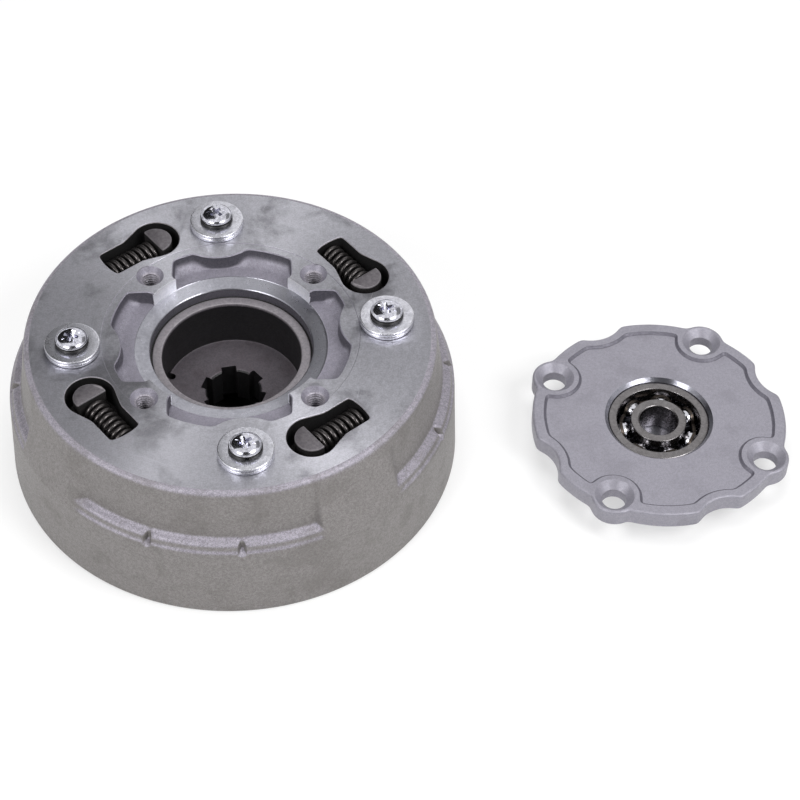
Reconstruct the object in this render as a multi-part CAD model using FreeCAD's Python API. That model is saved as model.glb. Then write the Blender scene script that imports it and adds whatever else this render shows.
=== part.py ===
"""Centrifugal clutch of a small horizontal engine, with its front cover lying beside it.

The drum stands on its open rim with its driven face up. The origin is on the drum's axis in the
plane of that rim, +Z points to the face and +X goes through one of the four face screws.
All lengths are in millimetres and all angles in degrees.
"""
import FreeCAD, Part
import math
import os

# Drive hub, a splined steel cup, from its bore outwards
spline_count = 6
spline_minor_radius = 8.4
spline_depth = 1.7
spline_slot_width = 4.7
spline_angle = 34.0
nose_wall = 3.4
nose_end_gap = 0.2
cup_step = 7.9
cup_wall = 3.0
cup_floor_thickness = 4.2
lip_drop = 9.0
lock_notch_radius = 1.3
lock_notch_angle = 156.8
lock_notch_inset = 1.0
lock_notch_depth = 2.0
hub_flange_thickness = 3.0
rivet_count = 6
rivet_radius = 1.5
rivet_inset = 3.0
rivet_edge = 3.1
edge_break = 0.4

# Face of the drum: bearing seat, pocket and lands of the cover's screws
quarter_count = 4
pilot_clearance = 0.05
pilot_relief = 0.5
collar_depth = 2.5
face_thickness = 9.0
seat_width = 5.0
seat_outer_drop = 5.2
seat_inner_drop = 6.0
land_step = 0.3
land_half_width = 4.7
land_flare = 6.0
land_hole_reach = 6.3
cover_hole_angle = 39.0
pocket_reach = 1.0
pocket_depth = 5.0
pocket_blend = 1.2
screw_boss_radius = 14.6
gasket_seat_depth = 0.2
washer_seat_gap = 0.1
tapped_radius = 2.55
tapped_depth = 8.0
tapped_mouth_radius = 4.05
tapped_mouth_depth = 1.6

# Face screws and the keyhole slots of the damper springs
screw_reach = 12.0
twist_forward = 3.0
twist_back = 1.5
keyhole_offset = 0.1
keyhole_angle = 24.4
keyhole_radius = 7.6
channel_angle = 31.5
channel_width = 10.2
channel_end = 12.4
keyhole_blend = 2.5
channel_corner = 0.8

# Drive plate with its posts, spacers and weight lugs
plate_gap = 0.3
drive_plate_thickness = 2.8
drive_plate_overhang = 7.5
drive_plate_bore_gap = 0.6
post_radius = 5.2
post_flat_offset = 0.9
post_top_drop = 0.2
post_shank_radius = 3.5
spacer_radius = 3.5
spacer_shank_radius = 2.5
spacer_gap = 0.4
washer_lift = 0.15

# Wall of the drum, outside the drive plate and the plate stack
drive_plate_gap = 4.0
face_wall = 1.7
rim_round = 2.2
bore_step = 4.0
bore_taper = 2.0
bore_shoulder_gap = 1.0
slot_wall = 3.5
wall_draft = 1.1
ledge_depth = 3.8
ledge_rise = 4.2
lobe_overhang = 1.2
lobe_angle = 29.8
lobe_span = 24.8
ledge_gap_angles = (-27.0, -3.0)
ledge_gap_width = 0.9
rim_chamfer = 0.5

# Face screws
washer_radius = 8.4
washer_thickness = 1.2
washer_edge_round = 0.4
washer_hole_radius = 2.75
spring_washer_radius = 4.6
spring_washer_thickness = 1.2
spring_washer_split = 0.8
screw_radius = 2.4
screw_length = 10.0
screw_head_radius = 4.7
screw_head_height = 2.1
screw_crown_radius = 2.585
cross_width = 1.1
cross_span = 4.6
cross_depth = 1.6
spacer_hole_extra = 0.6

# Damper springs
damper_spring_radius = 4.2
damper_wire_radius = 0.7
damper_turns = 8.0
spring_end_gap = 0.1
spring_floor_gap = 0.1
coil_steps = 10
wire_sides = 5

# Centrifugal weights
weight_count = 8
weight_first_angle = 0.0
weight_gap_angle = 4.2
weight_flange_gap = 1.0
weight_plate_gap = 0.7
weight_toe_gap = 0.3
weight_pin_radius = 1.5
weight_pin_clearance = 0.05
weight_pin_seat = 2.4
weight_inner = 7.5
weight_outer = 7.5
weight_corner = 1.0
weight_inner_rise = 5.4
weight_outer_rise = 7.0
weight_underside_rise = 1.8
weight_boss_radius = 2.9
toe_reach = 6.0
toe_half_width = 7.0
toe_round = 1.0
lug_reach_in = 3.0
lug_reach_out = 7.0
lug_side_gap = 0.6
lug_bottom_drop = 2.3

# Plate stack, from the open end of the drum upwards
ring_groove_z = 2.4
set_ring_thickness = 1.8
set_ring_depth = 1.4
set_ring_lip = 1.3
set_ring_opening = 18.0
back_plate_thickness = 3.2
plate_play = 0.2
friction_disc_thickness = 2.8
friction_core_thickness = 1.4
steel_plate_thickness = 1.6
pressure_plate_thickness = 3.8
friction_disc_count = 3
plate_edge_gap = 1.7
plate_width = 19.8
facing_inset = 2.5
facing_edge = 0.3
tab_count = 8
tab_width = 11.4
tab_height = 4.4
tab_root = 4.0
tab_side_gap = 0.3
tab_tip_gap = 0.5
tab_slot_extra = 0.6
return_spring_radius = 2.0
return_wire_radius = 0.4
return_spring_offset = 2.3
return_turns = 5.0

# Clutch centre, driven by the friction discs
centre_rim_gap = 2.5
centre_rim_thickness = 5.5
centre_rim_lift = 1.2
centre_rim_overlap = 0.6
centre_groove_count = 12
centre_groove_depth = 2.8
centre_groove_width = 6.0
disc_tooth_gap = 0.3
centre_web_thickness = 4.0
centre_web_drop = 2.0
centre_hub_wall = 3.3
centre_hub_bottom_z = 2.6
output_spline_count = 12
output_spline_step = 2.1
output_spline_height = 1.6
output_spline_width = 3.4
output_spline_depth = 5.8
bush_wall = 2.2
bush_length = 5.7
bush_clearance = 0.05
bush_flange_width = 3.75
bush_flange_thickness = 1.2
thrust_gap = 0.3
snap_ring_thickness = 1.2
snap_ring_margin = 0.2
snap_ring_lip = 1.6
snap_ring_depth = 1.1
snap_ring_opening = 5.0

# Front cover with its ball bearing, lying face up on its bearing boss
cover_gap = 23.9
cover_bearing_angle = -8.95
cover_turn = 145.6
cover_thickness = 6.0
cover_edge = 4.0
cover_ear_radius = 7.2
cover_dip_radius = 11.2
cover_blend = 2.0
cover_rim_width = 4.0
cover_dip_rim = 3.2
cover_ear_rim_radius = 8.2
cover_floor_depth = 0.8
cover_hole_radius = 3.8
cover_sink_radius = 6.0
cover_boss_wall = 3.3
cover_boss_floor = 2.2
cover_edge_round = 0.5
seat_chamfer = 1.1
bearing_recess = 1.2
bearing_bore_radius = 6.0
bearing_section = 10.0
bearing_width = 10.0
bearing_chamfer = 0.6
shoulder_offset = 2.2
ball_count = 7
ball_radius = 2.975
ball_first_angle = 29.5
ball_runs = 6
ball_sides = 12
race_clearance = 0.06
cage_half_thickness = 0.7
cage_band_height = 2.0
cage_pocket_wall = 0.6
cage_pocket_gap = 0.12

# Radii worked out from the values above, from the hub outwards
quarter = 360.0 / quarter_count
spline_major_radius = spline_minor_radius + spline_depth
nose_radius = spline_major_radius + nose_wall
bush_outer_radius = nose_radius + bush_clearance + bush_wall
bush_flange_radius = bush_outer_radius + bush_flange_width
output_spline_minor_radius = nose_radius + output_spline_step
output_spline_major_radius = output_spline_minor_radius + output_spline_height
centre_hub_radius = output_spline_major_radius + centre_hub_wall
cup_inner_radius = nose_radius + cup_step
cup_outer_radius = cup_inner_radius + cup_wall
pilot_radius = cup_outer_radius + pilot_clearance
seat_outer_radius = cup_outer_radius + seat_width
rivet_circle_radius = seat_outer_radius + rivet_inset
hub_flange_radius = rivet_circle_radius + rivet_edge
land_inner_radius = seat_outer_radius + land_step
cover_hole_circle_radius = land_inner_radius + land_hole_reach
pocket_radius = cover_hole_circle_radius + pocket_reach
screw_circle_radius = cover_hole_circle_radius + screw_reach
gasket_seat_radius = screw_circle_radius - washer_radius - washer_seat_gap
keyhole_circle_radius = screw_circle_radius + keyhole_offset
weight_half_span = 180.0 / weight_count - weight_gap_angle
weight_pivot_radius = hub_flange_radius + weight_flange_gap + weight_inner
drive_plate_radius = screw_circle_radius + drive_plate_overhang
upper_bore_radius = drive_plate_radius + drive_plate_gap
face_radius = upper_bore_radius + face_wall
wall_top_radius = face_radius + rim_round
lower_bore_radius = upper_bore_radius + bore_step
plate_outer_radius = lower_bore_radius - plate_edge_gap
plate_inner_radius = plate_outer_radius - plate_width
facing_inner_radius = plate_inner_radius + facing_inset
facing_outer_radius = plate_outer_radius - facing_edge
centre_rim_radius = plate_inner_radius - centre_rim_gap
tab_tip_radius = plate_outer_radius + tab_height
rim_radius = tab_tip_radius + tab_tip_gap + slot_wall
ledge_outer_radius = rim_radius - wall_draft
ball_circle_radius = bearing_bore_radius + bearing_section / 2
bearing_outer_radius = bearing_bore_radius + bearing_section
cover_boss_radius = bearing_outer_radius + cover_boss_wall
cover_lobe_radius = cover_hole_circle_radius + cover_edge
cover_distance = rim_radius + cover_gap + cover_lobe_radius


def stack():
    """Low and high z of each plate, with the play of the released clutch between them."""
    places = {}
    low = ring_groove_z + set_ring_thickness
    names = ["back_plate"]
    for index in range(1, friction_disc_count + 1):
        names.append("friction_disc_%d" % index)
        if index < friction_disc_count:
            names.append("steel_plate_%d" % index)
    names.append("pressure_plate")
    sizes = {"back_plate": back_plate_thickness, "pressure_plate": pressure_plate_thickness}
    for name in names:
        default = friction_disc_thickness if "friction" in name else steel_plate_thickness
        thick = sizes.get(name, default)
        places[name] = (low, low + thick)
        low += thick + plate_play
    return places


# Heights worked out from the values above, from the open rim upwards
back_plate_z, back_plate_top_z = stack()["back_plate"]
pressure_plate_z, stack_top_z = stack()["pressure_plate"]
last_disc_top_z = stack()["friction_disc_%d" % friction_disc_count][1]
lower_bore_depth = stack_top_z + bore_shoulder_gap
ledge_base_z = lower_bore_depth
ledge_top_z = ledge_base_z + ledge_rise
weight_pivot_z = stack_top_z + weight_toe_gap + weight_boss_radius
drive_plate_bottom_z = weight_pivot_z + weight_outer_rise + weight_plate_gap
drive_plate_top_z = drive_plate_bottom_z + drive_plate_thickness
face_bottom_z = drive_plate_top_z + plate_gap
drum_height = face_bottom_z + face_thickness
pocket_floor_z = drum_height - pocket_depth
collar_bottom_z = face_bottom_z - collar_depth
lip_z = drum_height - lip_drop
washer_bottom_z = drum_height + washer_lift
nose_end_z = centre_hub_bottom_z + output_spline_depth + nose_end_gap
snap_ring_z = nose_end_z + snap_ring_margin
bush_bottom_z = snap_ring_z + snap_ring_thickness
centre_web_z = bush_bottom_z - centre_web_drop
bush_seat_z = bush_bottom_z + bush_length
bush_top_z = bush_seat_z + bush_flange_thickness
cup_bottom_z = bush_top_z + thrust_gap
cup_floor_z = cup_bottom_z + cup_floor_thickness
cover_floor_z = cover_boss_floor + bearing_width + bearing_recess
cover_top_z = cover_floor_z + cover_floor_depth
cover_plate_z = cover_top_z - cover_thickness
Z_AXIS = FreeCAD.Vector(0, 0, 1)


def vector(x, y, z):
    return FreeCAD.Vector(x, y, z)


def polar_point(radius, angle, z=0.0):
    """Point at a radius and an angle about the drum's axis."""
    turn = math.radians(angle)
    return vector(radius * math.cos(turn), radius * math.sin(turn), z)


def turned(shape, angle):
    """Copy of a shape turned about the drum's axis."""
    copy = shape.copy()
    copy.rotate(vector(0, 0, 0), Z_AXIS, angle)
    return copy


def pattern(shape, count, first=0.0):
    """Copies of a shape spread evenly about the drum's axis."""
    return [turned(shape, first + index * 360.0 / count) for index in range(count)]


def cylinder(radius, low, high, centre=None):
    place = centre or vector(0, 0, 0)
    return Part.makeCylinder(radius, high - low, vector(place.x, place.y, low))


def cone(low_radius, high_radius, low, high, centre=None):
    place = centre or vector(0, 0, 0)
    return Part.makeCone(low_radius, high_radius, high - low, vector(place.x, place.y, low))


def ring(inner, outer, low, high):
    return cylinder(outer, low, high).cut(cylinder(inner, low - 1.0, high + 1.0))


def block(x_low, x_high, y_low, y_high, z_low, z_high):
    corner = vector(x_low, y_low, z_low)
    return Part.makeBox(x_high - x_low, y_high - y_low, z_high - z_low, corner)


def revolved(outline):
    """Solid of revolution about Z from a closed outline of (r, z) points."""
    corners = [vector(r, 0, z) for r, z in outline]
    face = Part.Face(Part.makePolygon(corners + corners[:1]))
    return face.revolve(vector(0, 0, 0), Z_AXIS, 360)


def prism(points, low, high):
    """Upright prism over a closed outline of (x, y) points."""
    corners = [vector(x, y, low) for x, y in points]
    face = Part.Face(Part.makePolygon(corners + corners[:1]))
    return face.extrude(vector(0, 0, high - low))


def wedge(radius, half_angle, low, high):
    """Sector of a disc about +X, for cutting rings into arcs."""
    reach = radius / math.cos(math.radians(half_angle))
    left = polar_point(reach, half_angle)
    right = polar_point(reach, -half_angle)
    return prism([(0, 0), (right.x, right.y), (left.x, left.y)], low, high)


def joined(shapes):
    """One solid out of pieces that were cast or forged together."""
    return shapes[0].multiFuse(shapes[1:]).removeSplitter()


def group(shapes):
    """Separate solids of one kind kept in one node."""
    solids = [solid for shape in shapes for solid in shape.Solids]
    return Part.makeCompound(solids)


def upright_edges(shape, chosen):
    """Vertical edges whose distance from the axis passes a test."""
    found = []
    for edge in shape.Edges:
        if len(edge.Vertexes) != 2:
            continue
        foot, head = edge.Vertexes[0].Point, edge.Vertexes[1].Point
        if math.hypot(foot.x - head.x, foot.y - head.y) < 0.001 and chosen(foot):
            found.append(edge)
    return found


def coil(radius, wire_radius, turns, length):
    """Compression spring along +Z from z = 0, its wire in short straight runs for light facets."""
    rise = (length - 2 * wire_radius) / (turns * coil_steps)
    middle = radius - wire_radius
    path = [polar_point(middle, index * 360.0 / coil_steps, wire_radius + index * rise)
            for index in range(int(round(turns * coil_steps)) + 1)]
    ahead = (path[1] - path[0]).normalize()
    upward = ahead.cross(vector(1, 0, 0)).normalize()
    outward = upward.cross(ahead).normalize()
    corners = []
    for index in range(wire_sides):
        turn = 2 * math.pi * index / wire_sides
        corners.append(path[0] + outward * (wire_radius * math.cos(turn))
                       + upward * (wire_radius * math.sin(turn)))
    section = Part.makePolygon(corners + corners[:1])
    return Part.Wire(Part.makePolygon(path)).makePipeShell([section], True, True, 1)


def tab_slots(extra_side, extra_tip, low, high):
    """Blocks for the driving tabs of the plates, or for the slots that take them."""
    half = tab_width / 2 + extra_side
    bar = block(plate_outer_radius - tab_root, tab_tip_radius + extra_tip, -half, half, low, high)
    return pattern(bar, tab_count, lobe_angle)


def channel_frame(shape):
    """Place a shape modelled with the spring channel along +X into the first quarter."""
    placed = shape.copy()
    placed.translate(vector(0, -keyhole_foot(), 0))
    placed.rotate(vector(0, 0, 0), Z_AXIS, 90.0)
    return turned(placed, channel_angle)


def keyhole_foot():
    """Distance of the spring channel's centre line from the drum's axis."""
    return keyhole_circle_radius * math.cos(math.radians(keyhole_angle - channel_angle))


def keyhole_start():
    """Place of the round end's centre along the spring channel."""
    return keyhole_circle_radius * math.sin(math.radians(keyhole_angle - channel_angle))


def post_flat():
    """Place of the damper post's flat along the spring channel."""
    return keyhole_start() + post_flat_offset


def keyhole_cutter():
    """Round end and spring channel of one damper slot, through the whole face."""
    low, high = face_bottom_z - 1.0, drum_height + 1.0
    half = channel_width / 2
    round_end = cylinder(keyhole_radius, low, high, vector(keyhole_start(), 0, 0))
    channel = block(keyhole_start(), channel_end, -half, half, low, high)
    slot = joined([round_end, channel])
    neck = keyhole_start() + math.sqrt(keyhole_radius ** 2 - half ** 2)
    slot = slot.makeFillet(keyhole_blend, upright_edges(slot, lambda p: abs(p.x - neck) < 0.01))
    corners = upright_edges(slot, lambda p: abs(p.x - channel_end) < 0.01)
    return channel_frame(slot.makeFillet(channel_corner, corners))


def screw_slot_cutter():
    """Curved slot that lets a spacer follow the damper's twist."""
    radius = spacer_radius + spacer_gap
    low, high = face_bottom_z - 1.0, drum_height + 1.0
    arc = ring(screw_circle_radius - radius, screw_circle_radius + radius, low, high)
    half = (twist_forward + twist_back) / 2
    middle = (twist_forward - twist_back) / 2
    arc = arc.common(turned(wedge(rim_radius, half, low - 1.0, high + 1.0), middle))
    ends = [cylinder(radius, low, high, polar_point(screw_circle_radius, angle))
            for angle in (-twist_back, twist_forward)]
    return joined([arc] + ends)


def pocket_cutter():
    """Wavy pocket in the face, between the lands of the cover's screws."""
    top = drum_height + 1.0
    body = cylinder(pocket_radius, pocket_floor_z, top)
    bump = cylinder(screw_boss_radius, pocket_floor_z - 1.0, top + 1.0,
                    vector(screw_circle_radius, 0, 0))
    flare_x = land_inner_radius + 1.0
    wide = land_half_width + land_flare
    land = prism([(0, -land_half_width), (flare_x, -land_half_width),
                  (flare_x + land_flare, -wide), (gasket_seat_radius, -wide),
                  (gasket_seat_radius, wide), (flare_x + land_flare, wide),
                  (flare_x, land_half_width), (0, land_half_width)],
                 pocket_floor_z - 1.0, top + 1.0)
    body = body.cut(pattern(bump, quarter_count) + pattern(land, quarter_count, cover_hole_angle))
    inner = cylinder(land_inner_radius, pocket_floor_z, top)
    body = joined([body, inner])
    outline = upright_edges(body, lambda p: math.hypot(p.x, p.y) > land_inner_radius + 2.0)
    return body.makeFillet(pocket_blend, outline)


def tapped_hole():
    """Blind tapped hole of the cover, with its countersunk mouth."""
    place = vector(cover_hole_circle_radius, 0, 0)
    top = drum_height
    hole = cylinder(tapped_radius, top - tapped_depth, top + 1.0, place)
    mouth = cone(tapped_radius, tapped_mouth_radius, top - gasket_seat_depth - tapped_mouth_depth,
                 top - gasket_seat_depth, place)
    rim = cylinder(tapped_mouth_radius, top - gasket_seat_depth, top + 1.0, place)
    return joined([hole, mouth, rim])


def bearing_face_cutter():
    """Turned, slightly dished seat round the hub bore, with the clear bore above the pilot."""
    outer_z = drum_height - seat_outer_drop
    inner_z = drum_height - seat_inner_drop
    bore = pilot_radius + pilot_relief
    return revolved([(0, lip_z - edge_break), (bore, lip_z - edge_break), (bore, inner_z),
                     (seat_outer_radius, outer_z), (seat_outer_radius, pocket_floor_z + 0.1),
                     (0, pocket_floor_z + 0.1)])


def clutch_outer():
    """Drum with ledged wall, keyhole slots, cover pocket and hub pilot."""
    ledge_inner_radius = ledge_outer_radius - ledge_depth
    ledge_lip_radius = ledge_inner_radius + 0.6 * ledge_depth
    ledge_lip_z = ledge_top_z - 0.3 * ledge_rise
    bevel = 0.293 * rim_round
    ledged = revolved([
        (pilot_radius, collar_bottom_z),
        (pilot_radius, drum_height),
        (face_radius, drum_height),
        (wall_top_radius - bevel, drum_height - bevel),
        (wall_top_radius, drum_height - rim_round),
        (ledge_inner_radius, ledge_top_z),
        (ledge_lip_radius, ledge_lip_z),
        (ledge_outer_radius, ledge_base_z),
        (rim_radius, rim_chamfer),
        (rim_radius - rim_chamfer, 0),
        (lower_bore_radius + rim_chamfer, 0),
        (lower_bore_radius, rim_chamfer),
        (lower_bore_radius, lower_bore_depth),
        (upper_bore_radius, lower_bore_depth + bore_taper),
        (upper_bore_radius, face_bottom_z),
        (seat_outer_radius, face_bottom_z),
        (seat_outer_radius, collar_bottom_z)])
    lobe_radius = wall_top_radius + lobe_overhang
    lobe = revolved([
        (upper_bore_radius + 0.5, drum_height),
        (face_radius, drum_height),
        (lobe_radius - bevel, drum_height - bevel),
        (lobe_radius, drum_height - rim_round),
        (ledge_outer_radius, ledge_base_z),
        (upper_bore_radius + 0.5, ledge_base_z + bore_taper)])
    lobe = lobe.common(wedge(rim_radius, lobe_span / 2, 0, drum_height))
    body = joined([ledged] + pattern(lobe, quarter_count, lobe_angle))
    ledge_gap = block(ledge_inner_radius + 0.2, rim_radius + 1.0, -ledge_gap_width / 2,
                      ledge_gap_width / 2, ledge_base_z - 0.2, ledge_top_z + 0.3)
    gaps = [gap for angle in ledge_gap_angles for gap in pattern(ledge_gap, quarter_count, angle)]
    groove_outer = lower_bore_radius + set_ring_depth
    groove = ring(lower_bore_radius - 1.0, groove_outer, ring_groove_z, back_plate_z)
    slots = tab_slots(tab_side_gap, tab_tip_gap, -1.0, stack_top_z + tab_slot_extra)
    seat = cylinder(gasket_seat_radius, drum_height - gasket_seat_depth, drum_height + 1.0)
    cutters = gaps + slots + [groove, seat, pocket_cutter(), bearing_face_cutter()]
    cutters += pattern(keyhole_cutter(), quarter_count)
    cutters += pattern(screw_slot_cutter(), quarter_count)
    cutters += pattern(tapped_hole(), quarter_count, cover_hole_angle)
    return body.cut(cutters)


def spline_cutter(minor, major, width, count, low, high, first):
    """Round bore with straight-sided keyways out to the major radius."""
    keys = [block(0, major, -width / 2, width / 2, low, high)]
    keys = [key for bar in keys for key in pattern(bar, count, first)]
    return joined([cylinder(minor, low, high)] + keys)


def drive_hub():
    """Splined steel cup, its lip piloting the drum and its flange carrying the drive plate."""
    flange_top = drive_plate_bottom_z
    body = revolved([
        (spline_minor_radius, nose_end_z),
        (nose_radius - edge_break, nose_end_z),
        (nose_radius, nose_end_z + edge_break),
        (nose_radius, cup_bottom_z),
        (cup_outer_radius, cup_bottom_z),
        (cup_outer_radius, flange_top - hub_flange_thickness),
        (hub_flange_radius, flange_top - hub_flange_thickness),
        (hub_flange_radius, flange_top),
        (cup_outer_radius, flange_top),
        (cup_outer_radius, lip_z),
        (cup_inner_radius + edge_break, lip_z),
        (cup_inner_radius, lip_z - edge_break),
        (cup_inner_radius, cup_floor_z),
        (spline_minor_radius, cup_floor_z)])
    bore = spline_cutter(spline_minor_radius, spline_major_radius, spline_slot_width,
                         spline_count, nose_end_z - 1.0, cup_floor_z + 1.0, spline_angle)
    notch = cylinder(lock_notch_radius, cup_floor_z - lock_notch_depth, cup_floor_z + 1.0,
                     polar_point(cup_inner_radius - lock_notch_inset, lock_notch_angle))
    groove = ring(nose_radius - snap_ring_depth, nose_radius + 1.0, snap_ring_z, bush_bottom_z)
    rivets = pattern(cylinder(rivet_radius, flange_top - hub_flange_thickness - 1.0,
                              flange_top + 1.0, vector(rivet_circle_radius, 0, 0)), rivet_count)
    return body.cut([bore, notch, groove] + rivets)


def lug_half_width(radius):
    """Half the width of a weight lug, which tapers with the gap between two weights."""
    return radius * math.tan(math.radians(weight_gap_angle)) - lug_side_gap


def weight_pin():
    """Straight pivot pin of one weight, reaching into the lugs on both sides."""
    reach = weight_pivot_radius * math.tan(math.radians(weight_half_span)) + lug_side_gap
    half = reach + weight_pin_seat
    start = vector(weight_pivot_radius, -half, weight_pivot_z)
    return Part.makeCylinder(weight_pin_radius, 2 * half, start, vector(0, 1, 0))


def drive_plate():
    """Steel plate on the hub's flange, with lugs below it for the weight pins."""
    bore = seat_outer_radius + drive_plate_bore_gap
    body = ring(bore, drive_plate_radius, drive_plate_bottom_z, drive_plate_top_z)
    near, far = weight_pivot_radius - lug_reach_in, weight_pivot_radius + lug_reach_out
    near_half, far_half = lug_half_width(near), lug_half_width(far)
    lug = prism([(near, -near_half), (far, -far_half), (far, far_half), (near, near_half)],
                weight_pivot_z - lug_bottom_drop, drive_plate_bottom_z)
    lugs = pattern(lug, weight_count, weight_first_angle + 180.0 / weight_count)
    body = joined([body] + lugs)
    low, high = drive_plate_bottom_z - 1.0, drive_plate_top_z + 1.0
    holes = pattern(cylinder(rivet_radius, low, high, vector(rivet_circle_radius, 0, 0)),
                    rivet_count)
    holes += pattern(cylinder(spacer_shank_radius, low, high, vector(screw_circle_radius, 0, 0)),
                     quarter_count)
    holes += pattern(cylinder(post_shank_radius, low, high, post_centre()), quarter_count)
    holes += pattern(weight_pin(), weight_count, weight_first_angle)
    return body.cut(holes)


def hub_rivets():
    """Rivets, flush on both sides, that hold the drive plate on the hub's flange."""
    low = drive_plate_bottom_z - hub_flange_thickness
    place = vector(rivet_circle_radius, 0, 0)
    return group(pattern(cylinder(rivet_radius, low, drive_plate_top_z, place), rivet_count))


def post_centre():
    """Centre of the first damper post, in the round end of its slot."""
    return polar_point(keyhole_circle_radius, keyhole_angle)


def damper_post():
    """Half-round steel post with its flat towards the spring, and its riveted shank."""
    top = drum_height - post_top_drop
    centre = vector(keyhole_start(), 0, 0)
    pin = cylinder(post_radius, drive_plate_top_z, top, centre)
    beyond = block(post_flat(), post_flat() + post_radius * 2, -post_radius * 2,
                   post_radius * 2, drive_plate_top_z - 1.0, top + 1.0)
    shank = cylinder(post_shank_radius, drive_plate_bottom_z, drive_plate_top_z, centre)
    return channel_frame(joined([pin.cut(beyond), shank]))


def screw_spacers():
    """Tapped spacers riveted to the drive plate, one under each face screw."""
    place = vector(screw_circle_radius, 0, 0)
    tube = cylinder(spacer_radius, drive_plate_top_z, washer_bottom_z, place)
    shank = cylinder(spacer_shank_radius, drive_plate_bottom_z, drive_plate_top_z, place)
    hole = cylinder(screw_radius, screw_tip_z() - spacer_hole_extra, washer_bottom_z + 1.0, place)
    return group(pattern(joined([tube, shank]).cut(hole), quarter_count))


def screw_seat_z():
    return washer_bottom_z + 2 * washer_thickness + spring_washer_thickness


def screw_tip_z():
    return screw_seat_z() - screw_length


def flat_washer(low):
    """Large flat washer at each face screw, its upper edge broken as a stamping's is."""
    high = low + washer_thickness
    soft = washer_edge_round
    washer = revolved([
        (washer_hole_radius, low), (washer_radius, low), (washer_radius, high - soft),
        (washer_radius - soft, high), (washer_hole_radius, high)])
    washer.translate(vector(screw_circle_radius, 0, 0))
    return group(pattern(washer, quarter_count))


def spring_washers():
    """Split spring washers under the screw heads."""
    low = washer_bottom_z + 2 * washer_thickness
    high = low + spring_washer_thickness
    washer = ring(washer_hole_radius, spring_washer_radius, low, high)
    split = block(0, spring_washer_radius + 1.0, -spring_washer_split / 2,
                  spring_washer_split / 2, low - 1.0, high + 1.0)
    washer = washer.cut(split)
    washer.translate(vector(screw_circle_radius, 0, 0))
    return group(pattern(washer, quarter_count))


def face_screws():
    """Pan-head screws with a cross recess."""
    seat = screw_seat_z()
    top = seat + screw_head_height
    cheek = 0.4 * screw_head_height
    shoulder = 0.26 * screw_crown_radius + 0.74 * screw_head_radius
    head = revolved([
        (0, seat), (screw_head_radius, seat), (screw_head_radius, seat + cheek),
        (shoulder, seat + 0.8 * screw_head_height), (screw_crown_radius, top), (0, top)])
    shank = cylinder(screw_radius, screw_tip_z(), seat)
    half, span = cross_width / 2, cross_span / 2
    arms = [block(-span, span, -half, half, top - cross_depth, top + 1.0),
            block(-half, half, -span, span, top - cross_depth, top + 1.0)]
    screw = joined([head, shank]).cut(arms)
    screw.translate(vector(screw_circle_radius, 0, 0))
    return group(pattern(screw, quarter_count))


def damper_spring():
    """Compression spring from the post's flat to the end of its channel."""
    length = channel_end - post_flat() - 2 * spring_end_gap
    spring = coil(damper_spring_radius, damper_wire_radius, damper_turns, length)
    spring.rotate(vector(0, 0, 0), vector(0, 1, 0), 90.0)
    height = drive_plate_top_z + spring_floor_gap + damper_spring_radius
    spring.translate(vector(post_flat() + spring_end_gap, 0, height))
    return channel_frame(spring)


def weight():
    """Swinging weight about +X, with its pivot bore and the toe that pushes the plates."""
    radius, height = weight_pivot_radius, weight_pivot_z
    under = height + weight_underside_rise
    body = Part.Face(Part.makePolygon([vector(x, 0, z) for x, z in (
        (radius - weight_inner, under), (radius - weight_inner, height + weight_inner_rise),
        (radius + weight_outer - weight_corner, height + weight_outer_rise),
        (radius + weight_outer, height + weight_outer_rise - weight_corner),
        (radius + weight_outer, under), (radius - weight_inner, under))]))
    half = (radius + weight_outer) * math.tan(math.radians(weight_half_span)) + 1.0
    body = body.extrude(vector(0, 2 * half, 0))
    body.translate(vector(0, -half, 0))
    start = vector(radius, -half, height)
    boss = Part.makeCylinder(weight_boss_radius, 2 * half, start, vector(0, 1, 0))
    bottom = height - weight_boss_radius
    toe_tip = radius + toe_reach + toe_round
    toe = block(radius, toe_tip, -toe_half_width, toe_half_width, bottom, under + 0.5)
    corner = [edge for edge in toe.Edges
              if all(abs(v.X - toe_tip) < 0.01 and abs(v.Z - bottom) < 0.01
                     for v in edge.Vertexes)]
    toe = toe.makeFillet(toe_round, corner)
    sector = wedge(rim_radius, weight_half_span, 0, drum_height)
    body = joined([body, boss]).common(sector)
    bore = Part.makeCylinder(weight_pin_radius + weight_pin_clearance, 2 * half, start,
                             vector(0, 1, 0))
    return joined([body, toe]).cut(bore)


def weight_pins():
    return group(pattern(weight_pin(), weight_count, weight_first_angle))


def tabbed_plate(low, high, inner):
    """Plain plate with driving tabs in the drum's slots."""
    body = ring(inner, plate_outer_radius, low, high)
    return joined([body] + tab_slots(0, 0, low, high))


def steel_plate(name):
    """Steel plate whose tabs leave every second slot to the return springs."""
    low, high = stack()[name]
    body = ring(plate_inner_radius, plate_outer_radius, low, high)
    tabs = tab_slots(0, 0, low, high)[1::2]
    return joined([body] + tabs)


def friction_disc(name):
    """Friction disc with a facing on both sides and inner teeth on a thinner core."""
    low, high = stack()[name]
    middle = (low + high) / 2
    core_low = middle - friction_core_thickness / 2
    core_high = middle + friction_core_thickness / 2
    tooth_gap = centre_groove_width / 2 - disc_tooth_gap
    core = ring(centre_rim_radius + disc_tooth_gap, facing_inner_radius + 1.0,
                core_low, core_high)
    tooth = block(centre_rim_radius - centre_groove_depth + disc_tooth_gap,
                  facing_inner_radius, -tooth_gap, tooth_gap, core_low, core_high)
    teeth = pattern(tooth, centre_groove_count)
    facing = ring(facing_inner_radius, facing_outer_radius, low, high)
    return joined([facing, core] + teeth)


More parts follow.
